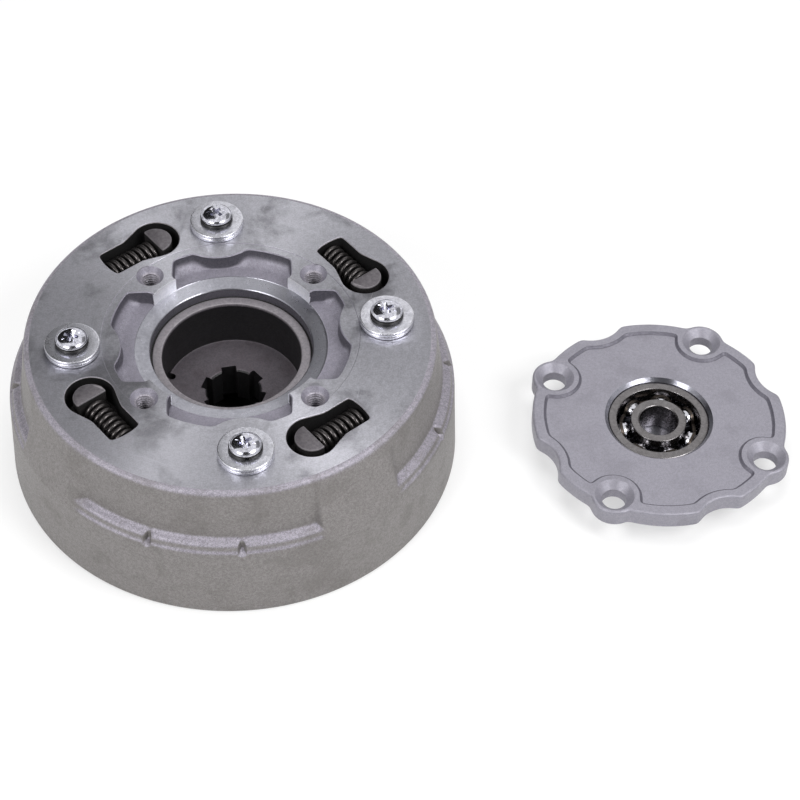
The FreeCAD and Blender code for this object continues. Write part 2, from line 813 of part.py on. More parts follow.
def set_ring():
    """Open wire ring in the drum's groove, under the back plate."""
    body = ring(lower_bore_radius - set_ring_lip, lower_bore_radius + set_ring_depth,
                ring_groove_z, back_plate_z)
    opening = block(0, rim_radius, -set_ring_opening / 2, set_ring_opening / 2,
                    ring_groove_z - 1.0, back_plate_z + 1.0)
    return body.cut(turned(opening, lobe_angle))


def return_spring(index):
    """Small spring between the tabs of the back plate and the pressure plate."""
    low = back_plate_top_z + spring_end_gap
    high = pressure_plate_z - spring_end_gap
    spring = coil(return_spring_radius, return_wire_radius, return_turns, high - low)
    spring.translate(vector(plate_outer_radius + return_spring_offset, 0, low))
    return turned(spring, lobe_angle + index * quarter)


def clutch_centre():
    """Grooved rim on a web and hub, with the output spline at its open end."""
    rim_bottom, rim_top = back_plate_z + centre_rim_lift, last_disc_top_z + centre_rim_overlap
    rim_inner = centre_rim_radius - centre_rim_thickness
    web_top = centre_web_z + centre_web_thickness
    body = revolved([
        (output_spline_minor_radius, centre_hub_bottom_z),
        (centre_hub_radius, centre_hub_bottom_z),
        (centre_hub_radius, centre_web_z),
        (rim_inner, centre_web_z),
        (rim_inner, rim_bottom),
        (centre_rim_radius, rim_bottom),
        (centre_rim_radius, rim_top),
        (rim_inner, rim_top),
        (rim_inner, web_top),
        (centre_hub_radius, web_top),
        (centre_hub_radius, bush_seat_z),
        (bush_outer_radius, bush_seat_z),
        (bush_outer_radius, bush_bottom_z),
        (output_spline_minor_radius, bush_bottom_z)])
    spline = spline_cutter(output_spline_minor_radius, output_spline_major_radius,
                           output_spline_width, output_spline_count,
                           centre_hub_bottom_z - 1.0, centre_hub_bottom_z + output_spline_depth,
                           0)
    groove = block(centre_rim_radius - centre_groove_depth, centre_rim_radius + 1.0,
                   -centre_groove_width / 2, centre_groove_width / 2,
                   rim_bottom - 1.0, rim_top + 1.0)
    return body.cut([spline] + pattern(groove, centre_groove_count))


def centre_bush():
    """Bronze flanged bush on which the clutch centre runs."""
    inner = nose_radius + bush_clearance
    return revolved([
        (inner, bush_bottom_z), (bush_outer_radius, bush_bottom_z),
        (bush_outer_radius, bush_seat_z), (bush_flange_radius, bush_seat_z),
        (bush_flange_radius, bush_top_z), (inner, bush_top_z)])


def snap_ring():
    """Open ring in the nose's groove, which keeps the clutch centre on."""
    body = ring(nose_radius - snap_ring_depth, nose_radius + snap_ring_lip,
                snap_ring_z, bush_bottom_z)
    opening = block(0, rim_radius, -snap_ring_opening / 2, snap_ring_opening / 2,
                    snap_ring_z - 1.0, bush_bottom_z + 1.0)
    return body.cut(opening)


def beside(shape):
    """Place a cover piece, modelled on its own axis, where the cover lies."""
    placed = turned(shape, cover_turn)
    placed.translate(polar_point(cover_distance, cover_bearing_angle))
    return placed


def cover_outline(low, high, lobe, ear, dip, blend):
    """Wavy plate with one ear at each screw hole and a dip opposite each face screw."""
    body = cylinder(lobe, low, high)
    if ear > 0:
        ears = cylinder(ear, low, high, vector(cover_hole_circle_radius, 0, 0))
        body = joined([body] + pattern(ears, quarter_count))
    dips = cylinder(dip, low - 1.0, high + 1.0, vector(screw_circle_radius, 0, 0))
    body = body.cut(pattern(dips, quarter_count, -cover_hole_angle))
    corners = upright_edges(body, lambda p: math.hypot(p.x, p.y) > lobe - 1.0)
    return body.makeFillet(blend, corners)


def cover_plate():
    """Front cover with a raised edge, countersunk screw holes and a closed bearing boss."""
    body = cover_outline(cover_plate_z, cover_top_z, cover_lobe_radius, cover_ear_radius,
                         cover_dip_radius, cover_blend)
    top_edges = [edge for edge in body.Edges
                 if all(abs(v.Z - cover_top_z) < 0.001 for v in edge.Vertexes)]
    body = body.makeChamfer(cover_edge_round, top_edges)
    boss = cylinder(cover_boss_radius, 0, cover_plate_z + 1.0)
    foot = [edge for edge in boss.Edges if abs(edge.BoundBox.ZMax) < 0.001]
    body = joined([body, boss.makeChamfer(rim_chamfer, foot)])
    floor = cover_outline(cover_floor_z, cover_top_z + 1.0, cover_lobe_radius - cover_rim_width,
                          0, cover_dip_radius + cover_dip_rim, cover_blend)
    ear_rim = cylinder(cover_ear_rim_radius, cover_floor_z - 1.0, cover_top_z + 2.0,
                       vector(cover_hole_circle_radius, 0, 0))
    floor = floor.cut(pattern(ear_rim, quarter_count))
    hole_place = vector(cover_hole_circle_radius, 0, 0)
    hole = cylinder(cover_hole_radius, cover_plate_z - 1.0, cover_top_z + 1.0, hole_place)
    sink_depth = cover_sink_radius - cover_hole_radius
    sink = cone(cover_hole_radius, cover_sink_radius, cover_top_z - sink_depth, cover_top_z,
                hole_place)
    seat = cylinder(bearing_outer_radius, cover_boss_floor, cover_top_z)
    mouth = cone(bearing_outer_radius, bearing_outer_radius + seat_chamfer,
                 cover_floor_z - seat_chamfer, cover_floor_z)
    cutters = [floor, seat, mouth] + pattern(joined([hole, sink]), quarter_count)
    return beside(body.cut(cutters))


def race_profile(wall, shoulder, side):
    """Turned ring of the bearing. Side is 1 for the outer ring and -1 for the inner one."""
    low, high = cover_boss_floor, cover_boss_floor + bearing_width
    middle = (low + high) / 2
    groove = ball_radius + race_clearance
    flat = groove * math.tan(math.radians(22.5))
    opening = flat + groove - abs(shoulder - ball_circle_radius)
    bottom = ball_circle_radius + side * groove
    cut = bearing_chamfer
    return revolved([
        (wall, low), (wall, high - cut), (wall - side * cut, high), (shoulder, high),
        (shoulder, middle + opening), (bottom, middle + flat), (bottom, middle - flat),
        (shoulder, middle - opening), (shoulder, low)])


def bearing_outer_ring():
    return beside(race_profile(bearing_outer_radius, ball_circle_radius + shoulder_offset, 1))


def bearing_inner_ring():
    return beside(race_profile(bearing_bore_radius, ball_circle_radius - shoulder_offset, -1))


def flat_sided_ball(centre):
    """Ball with small flat sides, which keep its facets light."""
    rings = []
    for index in range(ball_runs + 1):
        turn = 0.95 * math.pi * (index / ball_runs - 0.5)
        radius, height = ball_radius * math.cos(turn), ball_radius * math.sin(turn)
        rings.append([centre + polar_point(radius, side * 360.0 / ball_sides, height)
                      for side in range(ball_sides)])
    outlines = [rings[0], rings[-1]]
    for lower, upper in zip(rings, rings[1:]):
        for side in range(ball_sides):
            ahead = (side + 1) % ball_sides
            outlines.append([lower[side], lower[ahead], upper[ahead], upper[side]])
    faces = [Part.Face(Part.makePolygon(corners + corners[:1])) for corners in outlines]
    return Part.Solid(Part.Shell(faces))


def bearing_balls():
    centre = vector(ball_circle_radius, 0, cover_boss_floor + bearing_width / 2)
    return beside(group(pattern(flat_sided_ball(centre), ball_count, ball_first_angle)))


def bearing_cage():
    """Ribbon cage, its band running round each ball."""
    middle = cover_boss_floor + bearing_width / 2
    inner = ball_circle_radius - cage_half_thickness
    outer = ball_circle_radius + cage_half_thickness
    pocket = ball_radius + cage_pocket_gap
    start = vector(0, 0, middle)
    loop = Part.makeCylinder(pocket + cage_pocket_wall, outer + 1.0, start, vector(1, 0, 0))
    hole = Part.makeCylinder(pocket, outer + 1.0, start, vector(1, 0, 0))
    low, high = cover_boss_floor, cover_boss_floor + bearing_width
    tube = ring(inner, outer, low, high)
    loops = [tube.common(each) for each in pattern(loop, ball_count, ball_first_angle)]
    band = ring(inner, outer, middle - cage_band_height / 2, middle + cage_band_height / 2)
    body = joined([band] + loops)
    return beside(body.cut(pattern(hole, ball_count, ball_first_angle)))


def build():
    """Every piece of the clutch by the name of its node."""
    upper_z = washer_bottom_z + washer_thickness
    nodes = {
        "clutch_outer": clutch_outer(),
        "drive_hub": drive_hub(),
        "drive_plate": drive_plate(),
        "hub_rivets": hub_rivets(),
        "screw_spacers": screw_spacers(),
        "lower_washers": flat_washer(washer_bottom_z),
        "upper_washers": flat_washer(upper_z),
        "spring_washers": spring_washers(),
        "face_screws": face_screws(),
        "weight_pins": weight_pins(),
        "set_ring": set_ring(),
        "back_plate": tabbed_plate(*stack()["back_plate"], plate_inner_radius),
        "pressure_plate": tabbed_plate(*stack()["pressure_plate"], plate_inner_radius),
        "clutch_centre": clutch_centre(),
        "centre_bush": centre_bush(),
        "snap_ring": snap_ring(),
        "cover_plate": cover_plate(),
        "bearing_outer_ring": bearing_outer_ring(),
        "bearing_inner_ring": bearing_inner_ring(),
        "bearing_cage": bearing_cage(),
        "bearing_balls": bearing_balls(),
    }
    for index in range(1, friction_disc_count + 1):
        nodes["friction_disc_%d" % index] = friction_disc("friction_disc_%d" % index)
        if index < friction_disc_count:
            nodes["steel_plate_%d" % index] = steel_plate("steel_plate_%d" % index)
    for index in range(quarter_count):
        nodes["damper_post_%d" % (index + 1)] = turned(damper_post(), index * quarter)
        nodes["damper_spring_%d" % (index + 1)] = turned(damper_spring(), index * quarter)
        nodes["return_spring_%d" % (index + 1)] = return_spring(index)
    for index in range(weight_count):
        angle = weight_first_angle + index * 360.0 / weight_count
        nodes["weight_%d" % (index + 1)] = turned(weight(), angle)
    return nodes


def main():
    os.makedirs("parts", exist_ok=True)
    for name, shape in build().items():
        shape.exportStep("parts/%s.step" % name)


main()
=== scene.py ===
"""Look of the centrifugal clutch and its front cover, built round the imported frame.

Shapes are worked out in millimetres on the drum's axis, or on the cover's own axis, and
turned into metres when their mesh is made.
"""

import math

import bmesh
import bpy
from mathutils import Matrix, Vector


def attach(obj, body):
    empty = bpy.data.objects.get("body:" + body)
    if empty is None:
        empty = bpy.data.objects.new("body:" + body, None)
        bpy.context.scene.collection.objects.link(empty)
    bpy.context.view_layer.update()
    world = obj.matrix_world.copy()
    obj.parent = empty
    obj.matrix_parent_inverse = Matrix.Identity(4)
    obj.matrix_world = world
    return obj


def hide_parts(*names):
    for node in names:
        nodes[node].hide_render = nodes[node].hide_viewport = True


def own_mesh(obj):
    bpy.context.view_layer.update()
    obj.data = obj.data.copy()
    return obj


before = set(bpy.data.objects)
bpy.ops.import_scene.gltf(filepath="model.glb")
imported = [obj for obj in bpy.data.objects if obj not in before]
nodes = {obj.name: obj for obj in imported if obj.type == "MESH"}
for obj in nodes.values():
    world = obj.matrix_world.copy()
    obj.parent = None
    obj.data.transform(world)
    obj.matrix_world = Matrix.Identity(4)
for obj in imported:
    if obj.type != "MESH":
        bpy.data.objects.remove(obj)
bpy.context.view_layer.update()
scene = bpy.context.scene

MM = 0.001
QUARTERS = 4

# Drum
FACE_Z = 47.0
FACE_EDGE_RADIUS = 61.2
UNDERFACE_Z = 38.0
LAND_Z = FACE_Z - 0.2
LOBE_START, LOBE_END = 17.4, 42.2
STEP_SOFTNESS, TAPER_SOFTNESS = 0.9, 3.4
LEDGE_GAPS = (-27.0, -3.0)
GAP_HALF_ANGLE = 0.75
GAP_LOW, GAP_HIGH = 25.4, 30.9
TAB_ANGLE = 29.8
SCREW_CIRCLE = 48.0
COVER_HOLE_CIRCLE = 36.0
LAND_ANGLE = 39.0
POCKET_RADIUS, POCKET_FLOOR = 37.0, 42.0
BOSS_RADIUS = 14.6
LAND_SPREAD = 15.2
LAND_CORNERS = ((27.0, 4.7), (30.9, 4.7), (35.7, 9.7))
CHANNEL_ANGLE = 31.5
CHANNEL_FOOT = 47.73
CHANNEL_HALF_WIDTH = 5.1
CHANNEL_END = 12.4
ROUND_END_PLACE = -5.95
ROUND_END_RADIUS = 7.6
POST_RADIUS = 5.2
POST_FLAT = -5.05
POST_TOP = 46.8
SPRING_AXIS_Z = 42.0
PLATE_TOP = 37.7
WASHER_LOW, WASHER_THICK = 47.15, 1.2
SPRING_WASHER_LOW = WASHER_LOW + 2 * WASHER_THICK
HEAD_LOW = SPRING_WASHER_LOW + 1.2

# Cover
COVER_DISTANCE, COVER_BEARING_ANGLE, COVER_TURN = 134.1, -8.95, 145.6
COVER_PLATE_Z, COVER_TOP_Z, COVER_FLOOR_Z = 8.2, 14.2, 13.4
BEARING_LOW, BEARING_HIGH = 2.2, 12.2
BEARING_MIDDLE = (BEARING_LOW + BEARING_HIGH) / 2
BALL_RADIUS, BALL_CIRCLE, BALL_COUNT, BALL_FIRST = 2.975, 11.0, 7, 29.5


def polar(radius, angle):
    """Point (x, y) at a radius and an angle in degrees."""
    turn = math.radians(angle)
    return radius * math.cos(turn), radius * math.sin(turn)


def arc(radius, start, end, steps, centre=(0.0, 0.0)):
    """Points of an arc between two angles in degrees, both ends among them."""
    points = []
    for step in range(steps + 1):
        x, y = polar(radius, start + (end - start) * step / steps)
        points.append(Vector((centre[0] + x, centre[1] + y)))
    return points


def rectangle(start, end, half_width):
    """Rectangle along +X."""
    return [Vector(p) for p in ((start, -half_width), (end, -half_width), (end, half_width),
                                (start, half_width))]


def spin(angle, axis="Z"):
    return Matrix.Rotation(math.radians(angle), 4, axis)


def on_circle(radius, angle, height=0.0):
    """Place turned about the drum's axis and moved out to a radius."""
    return spin(angle) @ Matrix.Translation((radius, 0, height))


def on_channel(quarter):
    """Frame whose +X runs along a spring channel, with its foot on the drum's radius."""
    return on_circle(CHANNEL_FOOT, CHANNEL_ANGLE + 90.0 * quarter) @ spin(90.0)


def centres(circle, first, place=Matrix.Identity(4)):
    """Four centres on a circle, a quarter turn apart, seen from above."""
    return [(place @ Vector((*polar(circle, first + 90.0 * k), 0))).xy for k in range(QUARTERS)]


COVER_AXIS = polar(COVER_DISTANCE, COVER_BEARING_ANGLE)
COVER_PLACE = Matrix.Translation((*COVER_AXIS, 0)) @ spin(COVER_TURN)
SCREW_PLACES = [on_circle(SCREW_CIRCLE, 90.0 * k) for k in range(QUARTERS)]


def make_mesh(name, points, faces, place=None):
    """Mesh object out of points in millimetres, placed and turned into metres."""
    mesh = bpy.data.meshes.new(name)
    mesh.from_pydata([tuple(p) for p in points], [], faces)
    mesh.transform(Matrix.Scale(MM, 4) @ (place or Matrix.Identity(4)))
    mesh.validate()
    item = bpy.data.objects.new(name, mesh)
    scene.collection.objects.link(item)
    return item


def clean_normals(item):
    """Outward normals on every closed shell of a mesh."""
    work = bmesh.new()
    work.from_mesh(item.data)
    bmesh.ops.remove_doubles(work, verts=work.verts, dist=1e-7)
    bmesh.ops.recalc_face_normals(work, faces=work.faces)
    work.to_mesh(item.data)
    work.free()
    return item


def soften_shading(item, angle, weighted=False):
    """Smooth shading that keeps edges sharper than an angle."""
    mesh = item.data
    mesh.polygons.foreach_set("use_smooth", [True] * len(mesh.polygons))
    mesh.set_sharp_from_angle(angle=math.radians(angle))
    if weighted:
        normals = item.modifiers.new("weighted", "WEIGHTED_NORMAL")
        normals.keep_sharp = True
        normals.weight = 100
        bake_modifiers(item)
    return item


def bake_modifiers(item):
    """Apply every modifier of an object to its mesh."""
    graph = bpy.context.evaluated_depsgraph_get()
    graph.update()
    result = bpy.data.meshes.new_from_object(item.evaluated_get(graph), depsgraph=graph)
    old = item.data
    item.modifiers.clear()
    item.data = result
    bpy.data.meshes.remove(old)
    return item


def cut(item, *tools, operation="DIFFERENCE"):
    """Take tool shapes out of an object, or unite them with it, and delete the tools."""
    for tool in tools:
        step = item.modifiers.new("cut", "BOOLEAN")
        step.operation, step.solver, step.object = operation, "EXACT", tool
        tool.hide_render = True
    bake_modifiers(item)
    for tool in tools:
        bpy.data.objects.remove(tool)
    return item


def moved(item, place):
    """Object whose mesh, already in metres, is moved by a place in millimetres."""
    item.data.transform(Matrix.Scale(MM, 4) @ place @ Matrix.Scale(1 / MM, 4))
    return item


def join(items, name):
    """One object out of several, each a closed shell of its own."""
    points, faces = [], []
    for item in items:
        base = len(points)
        points += [v.co / MM for v in item.data.vertices]
        faces += [[base + i for i in p.vertices] for p in item.data.polygons]
        bpy.data.objects.remove(item)
    return make_mesh(name, points, faces)


def skin(name, rows, place=None, closed=False):
    """Shape through rows of points, each row a ring.

    The last row meets the first if closed, and both are capped if not.
    """
    count, last = len(rows[0]), len(rows) - 1
    faces = []
    for row in range(last + closed):
        here, following = row * count, (row + 1) % len(rows) * count
        for step in range(count):
            ahead = (step + 1) % count
            faces.append([here + step, here + ahead, following + ahead, following + step])
    if not closed:
        faces += [list(range(count)), list(range(last * count, (last + 1) * count))]
    points = [point for row in rows for point in row]
    return clean_normals(make_mesh(name, points, faces, place))


def lathe(name, profile, segments=128, place=None, closed=True):
    """Turned shape from a profile of (radius, z). An open profile is capped at both ends."""
    rows = [[(*polar(max(radius, 1e-3), 360.0 * step / segments), height)
             for step in range(segments)] for radius, height in profile]
    return skin(name, rows, place, closed)


def rounded_profile(corners, steps=4):
    """Profile with its corners, each (radius, z, rounding), rounded."""
    profile = []
    count = len(corners)
    for index, (radius, height, rounding) in enumerate(corners):
        here = Vector((radius, height))
        back = Vector(corners[index - 1][:2]) - here
        ahead = Vector(corners[(index + 1) % count][:2]) - here
        start = here + back.normalized() * rounding
        end = here + ahead.normalized() * rounding
        for step in range(steps + 1):
            t = step / steps
            point = start * (1 - t) ** 2 + here * (2 * t * (1 - t)) + end * t ** 2
            profile.append((point.x, point.y))
    return profile


def resample(outline, spacing):
    """Closed outline with its points an even distance apart."""
    points = [Vector(p) for p in outline]
    lengths = [(points[(i + 1) % len(points)] - p).length for i, p in enumerate(points)]
    total = sum(lengths)
    count = int(total / spacing)
    result, index, passed = [], 0, 0.0
    for step in range(count):
        target = total * step / count
        while passed + lengths[index] < target:
            passed += lengths[index]
            index += 1
        share = (target - passed) / max(lengths[index], 1e-9)
        result.append(points[index].lerp(points[(index + 1) % len(points)], share))
    return result


def soften(outline, rounds, spacing=0.35):
    """Closed outline with its corners worn round, the more the more rounds."""
    points = resample(outline, spacing)
    count = len(points)
    for _ in range(rounds):
        points = [points[i - 1] * 0.25 + points[i] * 0.5 + points[(i + 1) % count] * 0.25
                  for i in range(count)]
    return points


def grown(outline, distance):
    """Outline moved out by a distance along its own normals."""
    count = len(outline)
    area = sum(outline[i - 1].x * outline[i].y - outline[i].x * outline[i - 1].y
               for i in range(count))
    side = 1.0 if area > 0 else -1.0
    result = []
    for i, point in enumerate(outline):
        along = (outline[(i + 1) % count] - outline[i - 1]).normalized()
        result.append(point + Vector((along.y, -along.x)) * distance * side)
    return result


def stacked(name, rings, place=None):
    """Closed shape through outlines at rising heights, [(outline, z), ...]."""
    return skin(name, [[(p.x, p.y, z) for p in outline] for outline, z in rings], place)


def prism(name, outline, low, high, place=None):
    return stacked(name, [(outline, low), (outline, high)], place)


def stepped(name, outline, steps, place=None):
    """Closed shape round one outline, grown by (distance, z) at each step."""
    return stacked(name, [(grown(outline, out), z) for out, z in steps], place)


def smoothstep(low, high, value):
    t = min(max((value - low) / (high - low), 0.0), 1.0)
    return t * t * (3 - 2 * t)


def along_profile(profile, height):
    """Radius of a falling profile at a height."""
    for (r0, z0), (r1, z1) in zip(profile, profile[1:]):
        if z0 >= height >= z1:
            share = (z0 - height) / (z0 - z1)
            return r0 + (r1 - r0) * share
    return profile[-1][0]


# Outer wall of the drum, from the face's edge down to the rim
WALL_HEAD = [(61.2, 47.0), (61.9, 46.86), (62.55, 46.45)]
WALL_FOOT = [(69.15, 24.0), (70.15, 0.8), (70.0, 0.25), (69.6, 0.0)]
RECESS_WALL = WALL_HEAD + [
    (63.0, 45.8), (63.2, 45.0), (65.0, 30.9), (65.12, 30.3), (65.45, 29.8), (66.1, 29.45),
    (67.0, 29.1), (67.55, 28.75), (67.85, 28.3), (68.0, 27.8), (68.12, 27.35), (68.4, 26.9),
    (68.8, 26.45), (69.05, 25.9), (69.14, 25.0)] + WALL_FOOT
LOBE_WALL = WALL_HEAD + [(63.02, 45.8), (63.3, 45.0), (69.05, 25.6)] + WALL_FOOT
WALL_HEIGHTS = [47.0, 46.86, 46.6, 46.3, 45.9, 45.5, 45.0, 44.4, 42.0, 38.0, 34.0, 32.0,
                31.2, 30.6, 30.2, 29.8, 29.5, 29.3, 29.1, 28.8, 28.5, 28.2, 27.8, 27.3,
                26.9, 26.65, 26.45, 26.25, 26.0, 25.7, 25.3, 24.8, 24.0, 20.0, 14.0, 8.0,
                3.0, 0.8, 0.4, 0.15, 0.0]
INNER_WALL = [(64.0, 0.0), (63.5, 0.5), (63.5, 25.0), (59.5, 27.0), (59.5, UNDERFACE_Z),
              (59.5, 46.0)]
WALL_STEPS = 960


def lobe_share(angle):
    """1 on a full-width lobe of the wall, 0 in a ledged recess."""
    local = angle % 90.0
    rise = smoothstep(LOBE_START - STEP_SOFTNESS / 2, LOBE_START + STEP_SOFTNESS / 2, local)
    fall = smoothstep(LOBE_END - TAPER_SOFTNESS / 2, LOBE_END + TAPER_SOFTNESS / 2, local)
    return rise * (1 - fall)


def gap_share(angle):
    """1 in the middle of a gap that parts two ledges, 0 away from it."""
    share = 0.0
    for gap in LEDGE_GAPS:
        off = (angle - gap + 45.0) % 90.0 - 45.0
        share = max(share, math.exp(-(off / GAP_HALF_ANGLE) ** 4))
    return share


def wall_radius(angle, height):
    recess = along_profile(RECESS_WALL, height)
    if GAP_LOW < height < GAP_HIGH:
        plain = 65.0 + 0.12 * (GAP_HIGH - height)
        depth = 0.75 * gap_share(angle) * smoothstep(GAP_LOW, GAP_LOW + 1.2, height)
        recess -= depth * max(recess - plain, 0.0)
    return recess + (along_profile(LOBE_WALL, height) - recess) * lobe_share(angle)


def drum_wall():
    """Cast wall with leaning lobes and ledged recesses, and slots for the plates' tabs."""
    angles = [360.0 * step / WALL_STEPS for step in range(WALL_STEPS)]
    rows = [[(*polar(wall_radius(angle, height), angle), height) for angle in angles]
            for height in WALL_HEIGHTS]
    rows += [[(*polar(radius, angle), height) for angle in angles]
             for radius, height in INNER_WALL]
    slots = [prism("tab_slot", rectangle(57.8, 66.7, 6.0), -1.0, 24.6,
                   spin(TAB_ANGLE + 45.0 * index)) for index in range(8)]
    return cut(skin("drum_wall", rows, closed=True), join(slots, "tab_slots"))


def keyhole_outline():
    """Outline of a damper slot along its channel."""
    neck, blend_end, bow = 64.0, 2.6, 0.7
    outline = arc(ROUND_END_RADIUS, neck, 360.0 - neck, 48, (ROUND_END_PLACE, 0.0))
    outline.append((blend_end, -CHANNEL_HALF_WIDTH))
    for step in range(9):
        share = step / 4 - 1
        outline.append((CHANNEL_END - 0.3 + bow * (1 - share ** 2), share * CHANNEL_HALF_WIDTH))
    outline.append((blend_end, CHANNEL_HALF_WIDTH))
    return soften(outline, 8)


def pocket_outline():
    """Wavy outline of the face pocket, between the four lands and round the screws."""
    bump = math.degrees(math.acos((POCKET_RADIUS ** 2 + SCREW_CIRCLE ** 2 - BOSS_RADIUS ** 2)
                                  / (2 * POCKET_RADIUS * SCREW_CIRCLE)))
    outline = []
    for quarter in range(QUARTERS):
        land, screw = LAND_ANGLE + 90.0 * quarter, 90.0 * (quarter + 1)
        turn, following = spin(land).to_2x2(), spin(land + 90.0).to_2x2()
        centre = Vector(polar(SCREW_CIRCLE, screw))
        ends = [Vector(polar(POCKET_RADIUS, screw + side * bump)) - centre for side in (-1, 1)]
        first, last = [math.degrees(math.atan2(end.y, end.x)) for end in ends]
        outline += [turn @ Vector(p) for p in LAND_CORNERS]
        outline += arc(POCKET_RADIUS, land + LAND_SPREAD, screw - bump, 12)[1:]
        outline += arc(BOSS_RADIUS, first, first - (first - last) % 360.0, 12, centre)[1:-1]
        outline += arc(POCKET_RADIUS, screw + bump, land + 90.0 - LAND_SPREAD, 12)[:-1]
        outline += [following @ Vector((x, -y)) for x, y in reversed(LAND_CORNERS)]
    return soften(outline, 9)


def tapped_hole(place):
    """Tool for a tapped hole, its thread as a stack of fine grooves."""
    height = LAND_Z - 1.5
    profile = [(0.0, LAND_Z + 1.0), (4.3, LAND_Z + 1.0), (4.3, LAND_Z + 0.02),
               (4.05, LAND_Z - 0.25), (3.1, height)]
    while height > FACE_Z - 8.0:
        profile += [(2.55, height - 0.35), (2.55, height - 0.5), (3.0, height - 0.85),
                    (3.0, height - 1.0)]
        height -= 1.0
    profile.append((0.0, height))
    return lathe("tapped_hole", profile, 48, place, closed=False)


def drum_face():
    """Turned face with its pocket, bearing seat, keyhole slots and tapped holes."""
    disc = lathe("drum_face", [
        (24.45, 35.5), (29.4, 35.5), (29.4, UNDERFACE_Z), (FACE_EDGE_RADIUS, UNDERFACE_Z),
        (FACE_EDGE_RADIUS, FACE_Z), (55.0, FACE_Z), (48.0, FACE_Z), (39.65, FACE_Z),
        (39.5, FACE_Z - 0.06), (39.4, LAND_Z), (35.0, LAND_Z), (30.2, LAND_Z),
        (29.85, LAND_Z - 0.1), (29.7, LAND_Z - 0.4), (29.6, 41.95), (29.45, 41.8),
        (28.9, 41.72), (25.4, 41.1), (25.1, 40.95), (24.95, 40.7), (24.95, 37.7),
        (24.8, 37.6), (24.45, 37.6)], 256)
    keyhole, lip = keyhole_outline(), 0.35
    mouth = [(0.0, 36.0), (0.0, FACE_Z - lip), (0.13 * lip, FACE_Z - 0.5 * lip),
             (0.5 * lip, FACE_Z - 0.13 * lip), (1.3 * lip, FACE_Z + 0.05),
             (1.3 * lip, FACE_Z + 1.5)]
    tools = []
    for quarter in range(QUARTERS):
        angle = 90.0 * quarter
        tools.append(stepped("keyhole", keyhole, mouth, on_channel(quarter)))
        tools.append(tapped_hole(on_circle(COVER_HOLE_CIRCLE, LAND_ANGLE + angle)))
        tools.append(screw_slot(angle))
    return cut(cut(disc, join(tools, "face_tools")), pocket_tool())


def pocket_tool():
    """Tool for the face pocket, with a broad fillet along its outer walls."""
    outline = pocket_outline()
    rings = []
    for share in (1.0, 0.7, 0.42, 0.2, 0.06, 0.0):
        ring = []
        for point in outline:
            reach = 0.6 + 3.2 * smoothstep(34.0, 36.9, point.length)
            ring.append(point * (1.0 - share * reach / point.length))
        rise = 1.0 - math.sqrt(1.0 - (1.0 - share) ** 2)
        rings.append((ring, POCKET_FLOOR + 4.1 * rise))
    wide = grown(outline, 0.3)
    rings += [(outline, LAND_Z - 0.3), (wide, LAND_Z + 0.02), (wide, LAND_Z + 1.5)]
    return stacked("pocket", rings)


def screw_slot(angle):
    """Tool for the short curved slot under a screw."""
    outline = (arc(3.9, 0.0, 180.0, 12, (SCREW_CIRCLE, 2.5))
               + arc(3.9, 180.0, 360.0, 12, (SCREW_CIRCLE, -1.26)))
    return prism("screw_slot", outline, 36.0, 48.5, spin(angle))


def build_drum():
    drum = clean_normals(join([drum_wall(), drum_face()], "clutch_drum"))
    soften_shading(drum, 38.0, weighted=True)
    fit(drum, "drum", "clutch_outer", "cast_alloy",
        ["cast_wall", "turned_face", "pocket_cast", "turned_seat", "bore_black", "land_steel"],
        drum_finish)


# Steel pieces of the hub side

def damper_post(quarter):
    """Half-round post, its edges broken by a small bevel."""
    reach = math.degrees(math.acos((POST_FLAT - ROUND_END_PLACE) / POST_RADIUS))
    outline = arc(POST_RADIUS, reach, 360.0 - reach, 40, (ROUND_END_PLACE, 0.0))
    post = stepped("post_%d" % (quarter + 1), soften(outline, 3, 0.25), [
        (-0.2, PLATE_TOP), (0.0, PLATE_TOP + 0.2), (0.0, POST_TOP - 0.45),
        (-0.13, POST_TOP - 0.14), (-0.45, POST_TOP)], on_channel(quarter))
    # Only the top and its bevel keep post steel; the sides are painted black as shade.
    fit(soften_shading(post, 30.0), "drive", "damper_post_%d" % (quarter + 1), "post_steel",
        ["post_steel", "plate_black"],
        lambda radius, z, up, point: "post_steel" if z > 46.0 and up > 0.2 else "plate_black")


def wire_spring(name, radius, wire, turns, length, place, steps=28, sides=12):
    """Round-wire compression spring along +Z, with closed, ground ends."""
    middle = radius - wire
    closed_turns, end_rise, ground = 0.85, 2 * wire + 0.05, 0.12 * wire
    active = (length - 2 * wire - 2 * closed_turns * end_rise) / (turns - 2 * closed_turns)
    rows, height = [], wire
    for index in range(int(round(turns * steps)) + 1):
        turn = index / steps
        share = smoothstep(closed_turns - 0.3, closed_turns + 0.3, min(turn, turns - turn))
        rise = end_rise + (active - end_rise) * share
        centre = Vector((*polar(middle, 360.0 * turn), height))
        outward = Vector((*polar(1.0, 360.0 * turn), 0))
        along = Vector((-outward.y, outward.x, rise / (2 * math.pi * middle))).normalized()
        upward = outward.cross(along)
        row = []
        for across, up in (polar(wire, 360.0 * side / sides) for side in range(sides)):
            point = centre + outward * across + upward * up
            point.z = min(max(point.z, ground), length - ground)
            row.append(point)
        rows.append(row)
        height += rise / steps
    return soften_shading(skin(name, rows, place), 50.0)


def damper_spring(quarter):
    start, end = POST_FLAT + 0.1, CHANNEL_END - 0.1
    along = Matrix.Translation((start, 0, SPRING_AXIS_Z)) @ spin(90.0, "Y")
    place = on_channel(quarter)
    spring = wire_spring("compression_spring_%d" % (quarter + 1), 4.2, 0.7, 8.0,
                         end - start, place @ along)
    fit(spring, "drum", "damper_spring_%d" % (quarter + 1), "spring_steel")
    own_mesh(spring)


